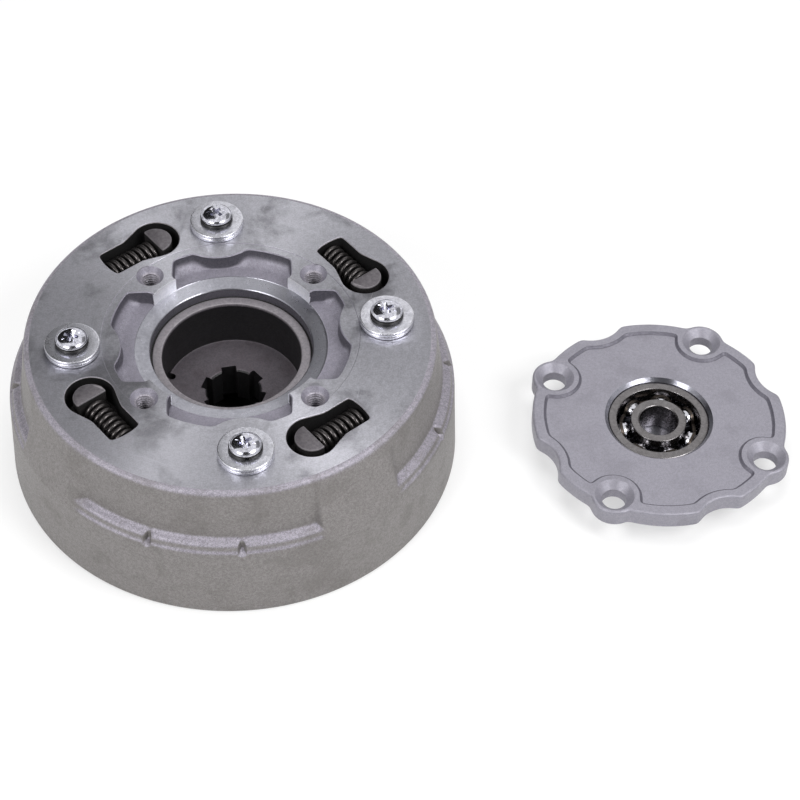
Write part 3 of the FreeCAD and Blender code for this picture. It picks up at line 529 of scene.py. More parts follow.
def return_spring(quarter):
    place = on_circle(64.1, TAB_ANGLE + 90.0 * quarter, 7.5)
    spring = wire_spring("stack_spring_%d" % (quarter + 1), 2.0, 0.4, 5.0, 12.6, place, 20, 8)
    fit(spring, "drum", "return_spring_%d" % (quarter + 1), "spring_steel")
    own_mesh(spring)


def flat_washers(name, low, node):
    """Four punched washers, their upper edges rolled over by the punch."""
    high = low + WASHER_THICK
    profile = rounded_profile([(2.75, low, 0.12), (8.4, low, 0.16), (8.4, high, 0.45),
                               (2.75, high, 0.3)], 5)
    washers = join([lathe("washer", profile, 96, place) for place in SCREW_PLACES], name)
    fit(soften_shading(washers, 40.0), "drive", node, "zinc_plated")


def split_washers():
    """Split spring washers, squeezed nearly flat."""
    section = [(2.75, 0.0), (2.75, 1.2), (4.85, 1.2), (5.1, 0.95), (5.1, 0.2), (4.9, 0.0)]
    half_gap, steps = math.degrees(0.4 / 3.7), 64
    angles = [half_gap + (360.0 - 2 * half_gap) * step / steps for step in range(steps + 1)]
    rows = [[(*polar(radius, angle), SPRING_WASHER_LOW + height) for radius, height in section]
            for angle in angles]
    washers = join([skin("split", rows, place) for place in SCREW_PLACES], "split_washers")
    fit(soften_shading(washers, 35.0), "drive", "spring_washers", "spring_steel",
        ["washer_black"])


def cross_recess(turn):
    """Tools for a cross recess with sloping arms, and small marks between them."""
    wide, narrow = rectangle(-2.35, 2.35, 0.62), rectangle(-1.0, 1.0, 0.42)
    arms = [(narrow, HEAD_LOW + 0.5), (wide, HEAD_LOW + 2.0), (wide, HEAD_LOW + 4.0)]
    tools = [stacked("arm", arms, spin(turn + 90.0 * arm)) for arm in range(2)]
    return tools + [prism("mark", rectangle(2.1, 3.1, 0.13), HEAD_LOW + 1.7, HEAD_LOW + 4.0,
                          spin(turn + 45.0 + 90.0 * mark)) for mark in range(4)]


def pan_screws():
    """Pan-head screws, each turned to its own angle."""
    crown = [(0.0, 2.1), (1.0, 2.09), (1.9, 2.02), (2.7, 1.87), (3.4, 1.64), (3.95, 1.36),
             (4.3, 1.08), (4.46, 0.88), (4.52, 0.76), (4.62, 0.75), (4.78, 0.78),
             (4.9, 0.72), (4.95, 0.6), (4.9, 0.48), (4.72, 0.36), (4.5, 0.0), (2.4, 0.0),
             (2.4, -9.45), (1.9, -10.0), (0.0, -10.0)]
    profile = [(radius, HEAD_LOW + height) for radius, height in crown]
    items = []
    for place, turn in zip(SCREW_PLACES, (12.0, 38.0, 67.0, 24.0)):
        screw = cut(lathe("screw", profile, 72, closed=False), *cross_recess(turn))
        items.append(moved(screw, place))
    fit(soften_shading(join(items, "pan_screws"), 32.0), "drive", "face_screws", "zinc_plated",
        ["zinc_bright"])


# Cover and its bearing

def crossing(ray, centre, radius):
    """Near and far distance at which a ray from the axis crosses a circle."""
    middle = ray.dot(centre)
    inside = radius ** 2 - (centre.length_squared - middle ** 2)
    if middle <= 0 or inside <= 0:
        return math.inf, 0.0
    return middle - math.sqrt(inside), middle + math.sqrt(inside)


COVER_EARS = centres(COVER_HOLE_CIRCLE, 0.0)
COVER_DIPS = centres(SCREW_CIRCLE, -LAND_ANGLE)
EAR_WALL_RADIUS = 8.2


def cover_outline(lobe, ear, dip, rounds):
    """Wavy outline of the cover: four ears with a dip between each two."""
    outline = []
    for step in range(1440):
        ray = Vector(polar(1.0, 0.25 * step))
        far = max([lobe] + [crossing(ray, centre, ear)[1] for centre in COVER_EARS])
        outline.append(ray * min([far] + [crossing(ray, c, dip)[0] for c in COVER_DIPS]))
    return soften(outline, rounds)


def cover_floor_outline():
    """Recess of the cover, inside its raised edge and round the four screw holes."""
    outline = []
    for point in cover_outline(36.0, 0.0, 14.4, 1):
        for centre in COVER_EARS:
            if (point - centre).length < EAR_WALL_RADIUS:
                ray = point.normalized()
                point = ray * min(crossing(ray, centre, EAR_WALL_RADIUS)[0], point.length)
        outline.append(point)
    return soften(outline, 8)


def build_cover():
    plate = stepped("cover_body", cover_outline(40.0, 7.2, 11.2, 14), [
        (-0.6, COVER_PLATE_Z), (-0.18, COVER_PLATE_Z + 0.18), (0.0, COVER_PLATE_Z + 0.6),
        (0.0, COVER_TOP_Z - 0.8), (-0.1, COVER_TOP_Z - 0.4), (-0.35, COVER_TOP_Z - 0.12),
        (-0.8, COVER_TOP_Z)])
    boss = lathe("boss", [(0.0, 0.0), (18.8, 0.0), (19.15, 0.15), (19.3, 0.5), (19.3, 7.8),
                          (19.6, 9.0), (0.0, 9.0)], 192, closed=False)
    cut(plate, boss, operation="UNION")
    floor = stepped("floor", cover_floor_outline(), [
        (-0.45, COVER_FLOOR_Z), (-0.1, COVER_FLOOR_Z + 0.12), (0.35, COVER_TOP_Z - 0.08),
        (0.5, COVER_TOP_Z + 0.01), (0.5, COVER_TOP_Z + 1.0)])
    seat = lathe("seat", [(0.0, BEARING_LOW), (15.3, BEARING_LOW), (16.0, BEARING_LOW + 0.7),
                          (16.0, 12.3), (17.1, COVER_FLOOR_Z), (17.3, COVER_FLOOR_Z + 0.06),
                          (17.3, 16.0), (0.0, 16.0)], 256, closed=False)
    hole = [(0.0, 7.0), (4.3, 7.0), (4.3, 8.1), (3.8, 8.6), (3.8, 12.0), (6.0, 14.05),
            (6.3, 14.25), (6.3, 16.0), (0.0, 16.0)]
    holes = [lathe("hole", hole, 96, on_circle(COVER_HOLE_CIRCLE, 90.0 * k), closed=False)
             for k in range(QUARTERS)]
    cut(plate, floor, seat, join(holes, "holes"))
    moved(plate, COVER_PLACE).name = "front_cover"
    soften_shading(clean_normals(plate), 36.0, weighted=True)
    fit(plate, "drum", "cover_plate", "cover_alloy",
        ["cover_cast", "cover_seat", "cover_groove", "land_steel"], cover_finish, COVER_AXIS)


def bearing_ring(name, wall, shoulder, side, body, node):
    """One ring of the bearing, with its round race."""
    low, high = BEARING_LOW, BEARING_HIGH
    groove = BALL_RADIUS + 0.06
    reach = math.degrees(math.acos(abs(shoulder - BALL_CIRCLE) / groove))
    corners = [(wall, low, 0.6), (wall, high, 0.6), (shoulder, high, 0.3)]
    profile = rounded_profile(corners + [(shoulder, low, 0.3)])
    half = len(rounded_profile(corners))
    race = [(BALL_CIRCLE + side * x, BEARING_MIDDLE + y)
            for x, y in arc(groove, reach, -reach, 20)]
    ring = lathe(name, profile[:half] + race + profile[half:], 192, COVER_PLACE)
    fit(soften_shading(ring, 40.0), body, node, "race_steel")


def balls():
    half_turn = [(x, BEARING_MIDDLE + y) for x, y in arc(BALL_RADIUS, -90.0, 90.0, 24)]
    items = []
    for index in range(BALL_COUNT):
        x, y = polar(BALL_CIRCLE, BALL_FIRST + 360.0 * index / BALL_COUNT)
        spot = COVER_PLACE @ Matrix.Translation((x, y, 0))
        items.append(lathe("ball", half_turn, 40, spot, closed=False))
    made = soften_shading(join(items, "polished_balls"), 60.0)
    fit(made, "bearing_cage", "bearing_balls", "ball_steel")


def ball_cage():
    """Ribbon cage that runs over the outer side of each ball and leaves its inner side open."""
    inner, outer = 11.3, 12.2
    pocket, wall, flat = BALL_RADIUS + 0.1, 0.35, 0.75
    steps = 420
    halves = []
    for side in (1, -1):
        rows = []
        for step in range(steps):
            angle = 360.0 * step / steps
            off = (angle - BALL_FIRST + 180.0 / BALL_COUNT) % (360.0 / BALL_COUNT)
            along = BALL_CIRCLE * math.radians(off - 180.0 / BALL_COUNT)
            swell = math.sqrt(max((pocket + wall) ** 2 - along ** 2, 0.0))
            hollow = math.sqrt(max(pocket ** 2 - along ** 2, 0.0))
            high = max(swell, flat)
            low = max(min(hollow, high - wall), 0.0)
            rows.append([(*polar(radius, angle), BEARING_MIDDLE + side * height)
                         for radius, height in ((inner, low), (inner, high), (outer, high),
                                                (outer, low))])
        halves.append(skin("ribbon", rows, closed=True))
    cage = clean_normals(moved(join(halves, "ribbon_cage"), COVER_PLACE))
    fit(soften_shading(cage, 40.0), "bearing_cage", "bearing_cage", "cage_steel")


# Hub, with its worn lip, and its cup painted black inside as shade

def build_hub():
    """Splined steel cup with a rounded, rubbed lip and a riveted flange."""
    cup = lathe("hub_cup", [
        (8.4, 8.6), (13.2, 8.6), (13.5, 8.9), (13.5, 17.2), (24.2, 17.2), (24.4, 17.4),
        (24.4, 31.9), (35.1, 31.9), (35.5, 32.2), (35.5, 34.6), (35.1, 34.9), (24.4, 34.9),
        (24.4, 37.6), (24.3, 37.85), (24.05, 38.0), (21.95, 38.0), (21.6, 37.85),
        (21.42, 37.5), (21.4, 37.0), (21.4, 22.2), (21.2, 21.65), (20.6, 21.4), (9.3, 21.4),
        (8.8, 21.2), (8.4, 20.8)], 256)
    tools = [prism("key", soften(rectangle(6.5, 10.1, 2.35), 1, 0.3), 8.0, 22.0,
                   spin(34.0 + 60.0 * k)) for k in range(6)]
    tools.append(prism("notch", arc(1.3, 0.0, 345.0, 23, polar(20.4, 156.8)), 19.4, 23.0))
    groove = lathe("groove", [(12.4, 8.8), (14.5, 8.8), (14.5, 10.0), (12.4, 10.0)])
    hub = clean_normals(cut(cup, join(tools, "keys"), groove))
    hub.name = "splined_hub"
    soften_shading(hub, 36.0, weighted=True)
    fit(hub, "drive", "drive_hub", "hub_steel", ["hub_steel", "hub_dark", "hub_floor"],
        hub_finish)


# Finishes

def linear(value):
    """Linear level of a display level from 0 to 255."""
    share = value / 255.0
    return share / 12.92 if share <= 0.04045 else ((share + 0.055) / 1.055) ** 2.4


def tone(red, green, blue):
    return linear(red), linear(green), linear(blue), 1.0


def feed(tree, socket, value):
    """Give a socket another node's output, or a value of its own."""
    if isinstance(value, bpy.types.NodeSocket):
        tree.links.new(value, socket)
    else:
        socket.default_value = value


def add(tree, kind, settings=None, **inputs):
    """Node in a tree, its settings and inputs given; i0, i1 and so on go by number."""
    node = tree.nodes.new("ShaderNode" + kind)
    for key, value in (settings or {}).items():
        setattr(node, key, value)
    for key, value in inputs.items():
        number = key[1:].isdigit()
        feed(tree, node.inputs[int(key[1:]) if number else key.replace("_", " ")], value)
    return node


def maths(tree, operation, first, second=0.0, third=0.0, clamp=False):
    settings = {"operation": operation, "use_clamp": clamp}
    return add(tree, "Math", settings, i0=first, i1=second, i2=third).outputs[0]


def times(tree, first, second, plus=None, clamp=False):
    """Product of two values, and a third one added to it if given."""
    operation = "MULTIPLY" if plus is None else "MULTIPLY_ADD"
    return maths(tree, operation, first, second, plus or 0.0, clamp)


def vectors(tree, operation, first, second=(0.0, 0.0, 0.0)):
    """Outputs of a vector node: the vector, and the value of a length."""
    return add(tree, "VectorMath", {"operation": operation}, i0=first, i1=second).outputs


def ranged(tree, value, low, high, to_low=0.0, to_high=1.0, kind="SMOOTHSTEP"):
    """Value spread from one range to another, held at both ends."""
    return add(tree, "MapRange", {"interpolation_type": kind}, i0=value, i1=low, i2=high,
               i3=to_low, i4=to_high).outputs[0]


def mixed(tree, share, first, second):
    return add(tree, "Mix", {"data_type": "RGBA"}, i0=share, i6=first, i7=second).outputs[2]


def noise(tree, place, scale, detail=3.0, roughness=0.55, distortion=0.0):
    return add(tree, "TexNoise", {"noise_dimensions": "3D"}, Vector=place, Scale=scale,
               Detail=detail, Roughness=roughness, Distortion=distortion).outputs[0]


def effect(**values):
    """Turn build(tree, place, *values), which names its outputs, into a shared group."""
    def make(build):
        tree = bpy.data.node_groups.new(build.__name__, "ShaderNodeTree")
        sockets = tree.interface
        sockets.new_socket("Place", in_out="INPUT", socket_type="NodeSocketVector")
        for label, value in values.items():
            socket = sockets.new_socket(label, in_out="INPUT", socket_type="NodeSocketFloat")
            socket.default_value = value
        given = tree.nodes.new("NodeGroupInput").outputs
        made = build(tree, *(given[label] for label in ("Place", *values)))
        for label in made:
            sockets.new_socket(label, in_out="OUTPUT", socket_type="NodeSocketFloat")
        leave = tree.nodes.new("NodeGroupOutput").inputs
        for label, value in made.items():
            tree.links.new(value, leave[label])
        return tree
    return make


@effect(Size=0.5)
def cast_grain(tree, place, size):
    """Sandy grain of a casting or a blasted surface, with small dark pits."""
    scale = maths(tree, "DIVIDE", 1.0, size)
    fine = noise(tree, place, scale, 3.0, 0.7)
    broad = noise(tree, place, times(tree, scale, 0.31), 2.0)
    cells = add(tree, "TexVoronoi", {"feature": "F1"}, Vector=place,
                Scale=times(tree, scale, 0.8)).outputs[0]
    pits = ranged(tree, cells, 0.05, 0.42)
    grain = times(tree, fine, 0.7, times(tree, broad, 0.3))
    speckle = times(tree, ranged(tree, grain, 0.36, 0.64), times(tree, pits, 0.35, 0.65))
    height = times(tree, pits, 0.6, times(tree, fine, 0.8))
    return {"Speckle": speckle, "Height": height}


@effect(Pitch=0.4)
def turned_grooves(tree, place, pitch):
    """Fine uneven rings left by a lathe tool about the upright axis of Place."""
    height = add(tree, "SeparateXYZ", Vector=place).outputs[2]
    flat = vectors(tree, "MULTIPLY", place, (1.0, 1.0, 0.0))[0]
    radius = vectors(tree, "LENGTH", flat)["Value"]
    across = maths(tree, "DIVIDE", maths(tree, "ADD", radius, height), pitch)
    one_way = {"noise_dimensions": "1D"}
    rings = add(tree, "TexNoise", one_way, W=across, Scale=1.0, Detail=3.0,
                Roughness=0.6).outputs[0]
    slow = add(tree, "TexNoise", one_way, W=across, Scale=0.11, Detail=1.0).outputs[0]
    tint = times(tree, rings, 0.6, times(tree, slow, 0.4))
    return {"Tone": tint, "Height": rings}


@effect(Amount=0.5)
def hair_scratches(tree, place, amount):
    """Thin scratches in three directions, with long gaps between them."""
    total = 0.0
    for turn, reach in ((0.5, 0.055), (1.9, 0.04), (2.7, 0.07)):
        turned = add(tree, "VectorRotate", {"rotation_type": "Z_AXIS"}, Vector=place,
                     Angle=turn).outputs[0]
        thin = vectors(tree, "MULTIPLY", turned, (reach, 2.2, 0.6))[0]
        lines = ranged(tree, noise(tree, thin, 1.0, 1.0, 0.4, 0.25), 0.71, 0.76)
        here = ranged(tree, noise(tree, place, 0.06 + reach, 1.0), 0.5, 0.62)
        total = maths(tree, "MAXIMUM", total, times(tree, lines, here))
    return {"Mask": times(tree, total, amount, clamp=True)}


@effect(Size=12.0, Run=0.0)
def soft_stains(tree, place, size, run):
    """Broad soft stains, and drips that run down where Run is above nothing."""
    scale = maths(tree, "DIVIDE", 1.0, size)
    cloud = ranged(tree, noise(tree, place, scale, 4.0, 0.6, 0.3), 0.48, 0.66)
    squeezed = vectors(tree, "MULTIPLY", place, (1.0, 1.0, 0.18))[0]
    drips = ranged(tree, noise(tree, squeezed, times(tree, scale, 3.0), 2.0), 0.56, 0.72)
    running = times(tree, drips, run)
    return {"Mask": maths(tree, "MAXIMUM", cloud, running)}


@effect(Amount=0.5)
def edge_wear_and_hollow_shade(tree, place, amount):
    """Rubbed edges, broken up by a fine grain, and a mask of the hollows between them for
    painted shade.
    """
    bend = add(tree, "NewGeometry").outputs["Pointiness"]
    grain = noise(tree, place, 0.9, 3.0, 0.6)
    edge = ranged(tree, times(tree, grain, 0.03, bend), 0.525, 0.58)
    return {"Mask": times(tree, edge, amount, clamp=True),
            "HollowPaintedShade": ranged(tree, bend, 0.49, 0.43)}


def use(tree, group, **inputs):
    """Outputs of a shared effect, placed in a material with its own values."""
    return add(tree, "Group", {"node_tree": group}, **inputs).outputs


def empty_tree(owner):
    """Node tree of a new material or world, cleared."""
    owner.use_nodes = True
    owner.node_tree.nodes.clear()
    return owner.node_tree


FINISHES = {}


def finish_tree(name):
    """Empty node tree of a new finish. The frame has materials of its own by some names."""
    FINISHES[name] = bpy.data.materials.new(name)
    return empty_tree(FINISHES[name])


def metal(name, light, dark, metallic, roughness, grain, scratches=0.1, turning=None,
          stain=None, wear=None, centre=(0.0, 0.0), directional=0.0, run=0.0, raised=None):
    """Metal finish whose grain moves between a light and a dark tone.

    Tones are display levels. grain is (size, depth) and turning is (pitch, depth, share of
    tone), in millimetres; stain is (tone, size, amount), wear is (tone, amount), and raised
    is (light, dark) for what faces up. raised paints light and shade: faces that look up get
    its lighter tones and steep faces keep the darker ones. wear also paints shade in hollows.
    """
    light, dark = tone(*light), tone(*dark)
    tree = finish_tree(name)
    where = add(tree, "TexCoord").outputs["Object"]
    scaled = vectors(tree, "MULTIPLY", where, (1 / MM,) * 3)[0]
    place = vectors(tree, "SUBTRACT", scaled, (*centre, 0.0))[0]
    cast = use(tree, cast_grain, Place=place, Size=grain[0])
    share = cast["Speckle"]
    height = times(tree, cast["Height"], grain[1])
    if turning:
        rings = use(tree, turned_grooves, Place=place, Pitch=turning[0])
        share = times(tree, rings["Tone"], turning[2], times(tree, share, 1.0 - turning[2]))
        height = times(tree, rings["Height"], turning[1], height)
    colour = mixed(tree, share, dark, light)
    # Painted light and shade: faces that look up take the lighter raised tones, steep faces the
    # darker ones.
    if raised:
        facing = add(tree, "SeparateXYZ",
                     Vector=add(tree, "NewGeometry").outputs["Normal"]).outputs[2]
        colour = mixed(tree, ranged(tree, facing, 0.25, 0.7), colour,
                       mixed(tree, share, tone(*raised[1]), tone(*raised[0])))
    rough = times(tree, share, -0.12, roughness + 0.06)
    if stain:
        stains = use(tree, soft_stains, Place=place, Size=stain[1], Run=run)["Mask"]
        stains = times(tree, stains, stain[2])
        colour = mixed(tree, stains, colour, tone(*stain[0]))
        rough = times(tree, stains, 0.15, rough)
    if wear:
        worn = tone(*wear[0])
        edges = use(tree, edge_wear_and_hollow_shade, Place=place, Amount=wear[1])
        # Painted shade: hollows darkened towards the dark tone.
        colour = mixed(tree, times(tree, edges["HollowPaintedShade"], 0.35), colour, dark)
        colour = mixed(tree, edges["Mask"], colour, worn)
        rough = times(tree, edges["Mask"], -0.15, rough)
    lines = use(tree, hair_scratches, Place=place, Amount=scratches)["Mask"]
    colour = mixed(tree, times(tree, lines, 0.6), colour, worn if wear else light)
    height = times(tree, lines, -0.01, height)
    bump = add(tree, "Bump", Strength=1.0, Distance=MM, Height=height).outputs[0]
    shader = add(tree, "BsdfPrincipled", Base_Color=colour, Metallic=metallic, Normal=bump,
                 Roughness=maths(tree, "ADD", rough, 0.0, clamp=True))
    if directional:
        shader.inputs["Anisotropic"].default_value = directional
        shader.inputs["Anisotropic Rotation"].default_value = 0.25
        radial = add(tree, "Tangent", {"direction_type": "RADIAL", "axis": "Z"})
        tree.links.new(radial.outputs[0], shader.inputs["Tangent"])
    add(tree, "OutputMaterial", Surface=shader.outputs[0])


# Cast wall: its raised tones paint light on what faces up, the ledge tops and the rim band.
metal("cast_wall", (140, 137, 136), (112, 108, 107), 0.35, 0.5, (0.26, 0.06), 0.9,
      stain=((98, 94, 91), 12.0, 0.3), run=0.4, raised=((164, 160, 170), (118, 114, 122)))
metal("turned_face", (200, 200, 208), (164, 163, 170), 0.95, 0.4, (0.5, 0.004), 1.0,
      turning=(0.35, 0.006, 0.4), stain=((88, 87, 91), 20.0, 0.6), directional=0.9)
# Pocket: its darker tones paint shade on the steep walls and lips, its raised tones paint light
# on the floor.
metal("pocket_cast", (92, 90, 98), (70, 68, 76), 0.3, 0.5, (0.28, 0.05),
      stain=((96, 93, 101), 14.0, 0.2), raised=((142, 139, 150), (118, 115, 126)))
# Near white for the lands' upright faces and the middle of the cover's bearing floor: painted
# highlight.
metal("land_steel", (250, 250, 254), (226, 226, 234), 0.5, 0.35, (0.6, 0.002), 0.2,
      turning=(0.3, 0.003, 0.3))
metal("turned_seat", (194, 194, 203), (158, 158, 167), 1.0, 0.3, (0.8, 0.002), 0.3,
      turning=(0.22, 0.005, 0.5), directional=0.9)
# Near black for the walls of the keyhole and screw slots and the bore under the seat: painted
# shade.
metal("bore_black", (30, 29, 30), (14, 13, 14), 0.2, 0.6, (0.6, 0.03))
metal("hub_steel", (118, 112, 119), (92, 87, 93), 0.6, 0.5, (0.35, 0.03), 0.3,
      stain=((92, 85, 88), 6.0, 0.3), wear=((206, 202, 206), 0.5))
metal("hub_floor", (102, 96, 102), (80, 76, 81), 0.5, 0.55, (0.4, 0.02), 0.2,
      turning=(0.6, 0.006, 0.35), stain=((66, 56, 60), 5.0, 0.3))
# Near black for the cup's walls and spline bores: painted shade.
metal("hub_dark", (40, 39, 41), (22, 21, 23), 0.4, 0.5, (0.6, 0.01), turning=(0.6, 0.01, 0.4))
# Near black, painted shade: the sides of the posts and the drive plate down in the slots.
metal("plate_black", (52, 50, 50), (26, 25, 25), 0.5, 0.55, (0.6, 0.02), 0.2)
metal("plate_steel", (150, 147, 146), (104, 101, 99), 0.9, 0.42, (0.8, 0.012), 0.5,
      stain=((84, 76, 68), 12.0, 0.35), wear=((212, 211, 210), 0.7))
metal("post_steel", (72, 67, 72), (53, 49, 53), 0.6, 0.5, (0.3, 0.02), 0.4,
      stain=((52, 46, 49), 3.0, 0.35), wear=((150, 146, 150), 0.8))
metal("zinc_bright", (226, 226, 236), (184, 184, 194), 1.0, 0.15, (0.8, 0.006), 0.4,
      stain=((150, 148, 150), 2.0, 0.3))
metal("zinc_plated", (222, 222, 230), (188, 188, 196), 0.95, 0.3, (0.6, 0.006), 0.5,
      stain=((140, 138, 140), 5.0, 0.25), wear=((246, 246, 250), 0.7))
metal("spring_steel", (96, 92, 92), (48, 46, 46), 0.85, 0.3, (0.35, 0.01), 0.2)
metal("washer_black", (30, 29, 31), (14, 13, 14), 0.3, 0.45, (0.4, 0.01))
metal("cover_cast", (150, 148, 158), (134, 132, 141), 0.35, 0.45, (0.28, 0.04), 0.25,
      stain=((112, 110, 118), 12.0, 0.25), centre=COVER_AXIS)
# Darker tone for the sloped wall of the cover's recess: painted shade.
metal("cover_groove", (104, 102, 112), (84, 82, 91), 0.35, 0.5, (0.28, 0.03), centre=COVER_AXIS)
metal("cover_seat", (170, 170, 180), (132, 132, 141), 1.0, 0.3, (0.8, 0.002),
      turning=(0.2, 0.004, 0.5), centre=COVER_AXIS, directional=0.9)
metal("race_steel", (138, 135, 136), (110, 107, 108), 1.0, 0.26, (0.8, 0.001),
      turning=(0.16, 0.002, 0.4), centre=COVER_AXIS)
metal("ball_steel", (214, 214, 220), (198, 198, 204), 1.0, 0.08, (0.6, 0.001))
metal("cage_steel", (72, 64, 58), (34, 31, 29), 0.8, 0.36, (0.4, 0.01))
metal("weight_iron", (96, 92, 90), (58, 55, 53), 0.7, 0.5, (0.5, 0.05), 0.3,
      stain=((84, 62, 46), 7.0, 0.3), wear=((170, 168, 166), 0.7))
metal("friction_facing", (118, 96, 72), (70, 54, 40), 0.0, 0.75, (0.5, 0.07), 0.3,
      stain=((48, 38, 30), 9.0, 0.45))
metal("bush_bronze", (196, 152, 96), (142, 104, 60), 0.95, 0.35, (0.5, 0.015), 0.4,
      turning=(0.3, 0.01, 0.4), wear=((232, 196, 140), 0.7))
metal("centre_cast", (176, 174, 176), (132, 130, 132), 0.5, 0.45, (0.6, 0.03), 0.4,
      turning=(0.5, 0.012, 0.35), stain=((100, 94, 90), 12.0, 0.35),
      wear=((226, 226, 228), 0.7))


def give_finishes(item, names):
    item.data.materials.clear()
    for name in names:
        item.data.materials.append(FINISHES[name])


def dress(names, finish):
    """Give one finish to CAD nodes that are shown as they are."""
    for name in names:
        give_finishes(nodes[name], [finish])


def fit(item, body, node, slot, finishes=None, choose=None, centre=(0.0, 0.0)):
    """Put a piece in a CAD node's place and on its body, and give it its finishes.

    Of several finishes, choose(radius, z, up, point) names a facet's own.
    """
    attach(item, body)
    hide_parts(node)
    give_finishes(item, finishes or [slot])
    for facet in item.data.polygons if choose else ():
        point = facet.center / MM
        radius = math.hypot(point.x - centre[0], point.y - centre[1])
        finish = choose(radius, point.z, facet.normal.z, point)
        facet.material_index = finishes.index(finish)


def nearest(point, spots):
    return min((point.xy - spot).length for spot in spots)


DRUM_HOLES = centres(COVER_HOLE_CIRCLE, LAND_ANGLE)
COVER_HOLES = centres(COVER_HOLE_CIRCLE, 0.0, COVER_PLACE)
COVER_BITES = centres(SCREW_CIRCLE, -LAND_ANGLE, COVER_PLACE)
PILOT_RADIUS = 3.05
SEAT_RADIUS, SEAT_Z = 29.8, 41.97


def drum_finish(radius, z, up, point):
    # Thread facets: painted light and shade, lighter cast wall on up-facing flanks, dark pocket
    # finish on the rest.
    if nearest(point, DRUM_HOLES) < PILOT_RADIUS and UNDERFACE_Z < z < 45.6:
        return "cast_wall" if up > 0.3 else "pocket_cast"
    if radius > FACE_EDGE_RADIUS - 0.01 or z < 35.0 or up < -0.5:
        return "cast_wall"
    # Walls of the keyhole and screw slots: painted shade, near black.
    if radius > 40.4 and z < 46.6:
        return "bore_black"
    # Upright faces of the lands: painted highlight, near white.
    if radius < 30.0 and z > 42.1 and abs(up) < 0.5:
        return "land_steel"
    if z > 46.74 and up > 0.8:
        return "turned_face"
    if radius < SEAT_RADIUS - 0.05 and 40.5 < z < SEAT_Z:
        return "turned_seat"
    # Bore under the seat: painted shade, near black; above it the pocket finish.
    if radius < SEAT_RADIUS and z < SEAT_Z:
        return "bore_black" if z < 38.2 else "pocket_cast"
    return "pocket_cast" if z > 41.8 and radius < 40.5 and up > -0.2 else "cast_wall"


def hub_finish(radius, z, up, point):
    if 21.0 < z < 23.0 and up > 0.4:
        return "hub_floor"
    # Inside the cup, its walls and the spline bores are painted near black as shade.
    outside = z > 36.6 or (z < 17.5 and radius > 11.0) or radius > 24.0
    return "hub_steel" if outside else "hub_dark"


def cover_finish(radius, z, up, point):
    # Sloped wall of the recess inside the raised edge: painted shade, except beside the holes
    # and bites.
    if COVER_FLOOR_Z + 0.01 < z < COVER_TOP_Z - 0.01 and radius > 19.0 and 0.3 < up < 0.97:
        groove = (nearest(point, COVER_HOLES) > 6.5 and radius < 36.9
                  and nearest(point, COVER_BITES) > 12.8)
        return "cover_groove" if groove else "cover_cast"
    # Floor in the middle of the bearing seat: painted highlight, near white.
    if radius < 1.0 and 2.0 < z < 2.4:
        return "land_steel"
    seat = radius < 17.4 and z > 2.0 and (-0.5 < up < 0.9 or z < 3.0)
    return "cover_seat" if seat else "cover_cast"


build_drum()
build_hub()
build_cover()
for quarter in range(QUARTERS):
    damper_post(quarter)
    damper_spring(quarter)
    return_spring(quarter)
flat_washers("lower_flat_washers", WASHER_LOW, "lower_washers")
flat_washers("upper_flat_washers", WASHER_LOW + WASHER_THICK, "upper_washers")
split_washers()
pan_screws()
bearing_ring("outer_race_ring", 16.0, 13.2, 1, "drum", "bearing_outer_ring")
bearing_ring("inner_race_ring", 6.0, 8.8, -1, "bearing_inner", "bearing_inner_ring")
balls()
ball_cage()

# The drive plate, seen only down the slots, is painted black as shade.
dress(["drive_plate"], "plate_black")
dress(["set_ring", "back_plate", "pressure_plate", "steel_plate_1", "steel_plate_2",
       "snap_ring", "weight_pins", "hub_rivets"], "plate_steel")
dress(["screw_spacers"], "zinc_plated")
dress(["clutch_centre"], "centre_cast")
dress(["centre_bush"], "bush_bronze")
dress(["friction_disc_%d" % k for k in (1, 2, 3)], "friction_facing")
dress(["weight_%d" % k for k in range(1, 9)], "weight_iron")


# Studio: pale floor, white surroundings, soft lamps, and dark cards that only gloss sees

FLOOR_SIZE, FLOOR_Z = 6000.0, -0.2
PAINTED_SHADE_FOOTPRINT = 0.069


def sheet(name, width, depth, height=0.0):
    """Flat rectangle, its sizes in millimetres."""
    x, y = width / 2, depth / 2
    corners = ((-x, -y), (x, -y), (x, y), (-x, y))
    return make_mesh(name, [(*corner, height) for corner in corners], [[0, 1, 2, 3]])


def white_rays(tree):
    """1 for the rays that see a white surrounding: camera, gloss and transmission."""
    path = add(tree, "LightPath").outputs
    other = maths(tree, "MAXIMUM", path["Is Glossy Ray"], path["Is Transmission Ray"])
    return maths(tree, "MAXIMUM", path["Is Camera Ray"], other)


def studio_floor():
    """Pale floor that keeps the shadow, with painted shade: near black and without glow where
    the drum stands on it.
    """
    floor = sheet("studio_floor", FLOOR_SIZE, FLOOR_SIZE, FLOOR_Z)
    tree = finish_tree("pale_floor")
    reach = vectors(tree, "LENGTH", add(tree, "TexCoord").outputs["Object"])["Value"]
    # Painted shade: clear is 0 inside the drum's footprint, where the floor is near black and
    # does not glow.
    clear = maths(tree, "GREATER_THAN", reach, PAINTED_SHADE_FOOTPRINT)
    seen = times(tree, white_rays(tree), clear)
    pale = mixed(tree, clear, (0.02, 0.02, 0.02, 1), (0.9, 0.9, 0.9, 1))
    matt = add(tree, "BsdfDiffuse", Color=pale).outputs[0]
    glow = add(tree, "Emission", Strength=1.0).outputs[0]
    blend = add(tree, "MixShader", i0=times(tree, seen, 0.55), i1=matt, i2=glow)
    add(tree, "OutputMaterial", Surface=blend.outputs[0])
    give_finishes(floor, ["pale_floor"])


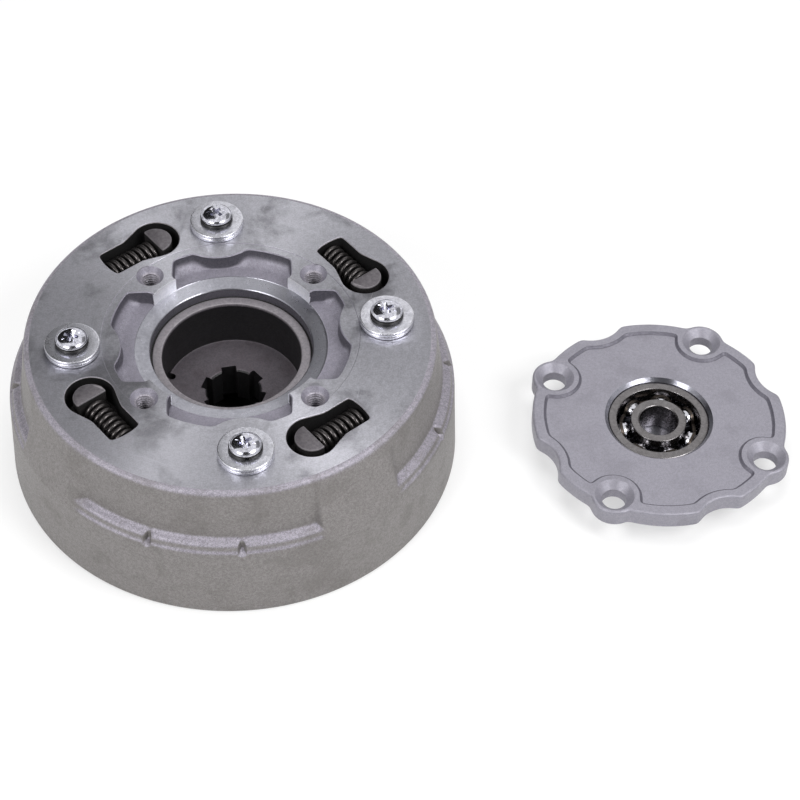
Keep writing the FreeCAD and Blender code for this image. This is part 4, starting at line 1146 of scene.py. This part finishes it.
def white_surroundings():
    world = bpy.data.worlds.new("white_surroundings")
    scene.world = world
    tree = empty_tree(world)
    strength = ranged(tree, white_rays(tree), 0.0, 1.0, 0.3, 1.0, "LINEAR")
    sky = add(tree, "Background", Color=(1, 1, 1, 1), Strength=strength)
    add(tree, "OutputWorld", Surface=sky.outputs[0])


def aimed(location, target):
    direction = Vector(target) - Vector(location)
    facing = direction.to_track_quat("-Z", "Y").to_matrix().to_4x4()
    return Matrix.Translation(location) @ facing


def softbox(name, location, target, size, power, glossy=True):
    lamp = bpy.data.lights.new(name, "AREA")
    lamp.shape, lamp.size, lamp.size_y, lamp.energy = "RECTANGLE", size, size, power
    item = bpy.data.objects.new(name, lamp)
    item.matrix_world = aimed(location, target)
    item.visible_glossy = glossy
    scene.collection.objects.link(item)


def reflection_card(name, location, target, width, depth, level):
    """Card that only gloss sees; it gives metal its dark side."""
    card = sheet(name, width / MM, depth / MM)
    card.matrix_world = aimed(location, target)
    tree = finish_tree(name)
    glow = add(tree, "Emission", Color=(level, level, level, 1), Strength=1.0)
    add(tree, "OutputMaterial", Surface=glow.outputs[0])
    give_finishes(card, [name])
    card.visible_camera = card.visible_diffuse = card.visible_shadow = False
    card.visible_transmission = card.visible_volume_scatter = False


studio_floor()
white_surroundings()
softbox("key_softbox", (0.45, -0.35, 0.6), (0.04, 0.0, 0.03), 0.35, 3.5)
softbox("fill_softbox", (-0.5, -0.45, 0.6), (0.03, 0.0, 0.03), 0.35, 3.5)
softbox("top_softbox", (0.05, 0.1, 0.9), (0.05, 0.0, 0.03), 0.5, 4.0, glossy=False)
reflection_card("dark_card_left", (-0.5, 0.5, 0.5), (-0.5, 0, 0.045), 0.95, 1.0, 0.02)
reflection_card("dark_card_right", (0.8, 0.37, 0.5), (0, 0, 0.045), 0.7, 0.7, 0.25)
reflection_card("dark_card_front", (0.05, -0.8, 0.12), (0, 0, 0.045), 1.1, 0.24, 0.05)
reflection_card("dark_card_camera", (0.0, -0.55, 0.5), (0.02, 0, 0.045), 0.5, 0.5, 0.04)
reflection_card("dark_card_above", (0.0, -0.4, 0.8), (0.02, 0, 0.045), 0.36, 0.3, 0.08)

camera_data = bpy.data.cameras.new("camera")
camera_data.lens = 106.0
camera = bpy.data.objects.new("camera", camera_data)
camera.matrix_world = (Matrix.Translation((-0.0268, -0.4907, 0.5738))
                       @ spin(-9.22) @ spin(41.37, "X") @ spin(1.64))
scene.collection.objects.link(camera)
scene.camera = camera
scene.view_settings.view_transform = "Standard"
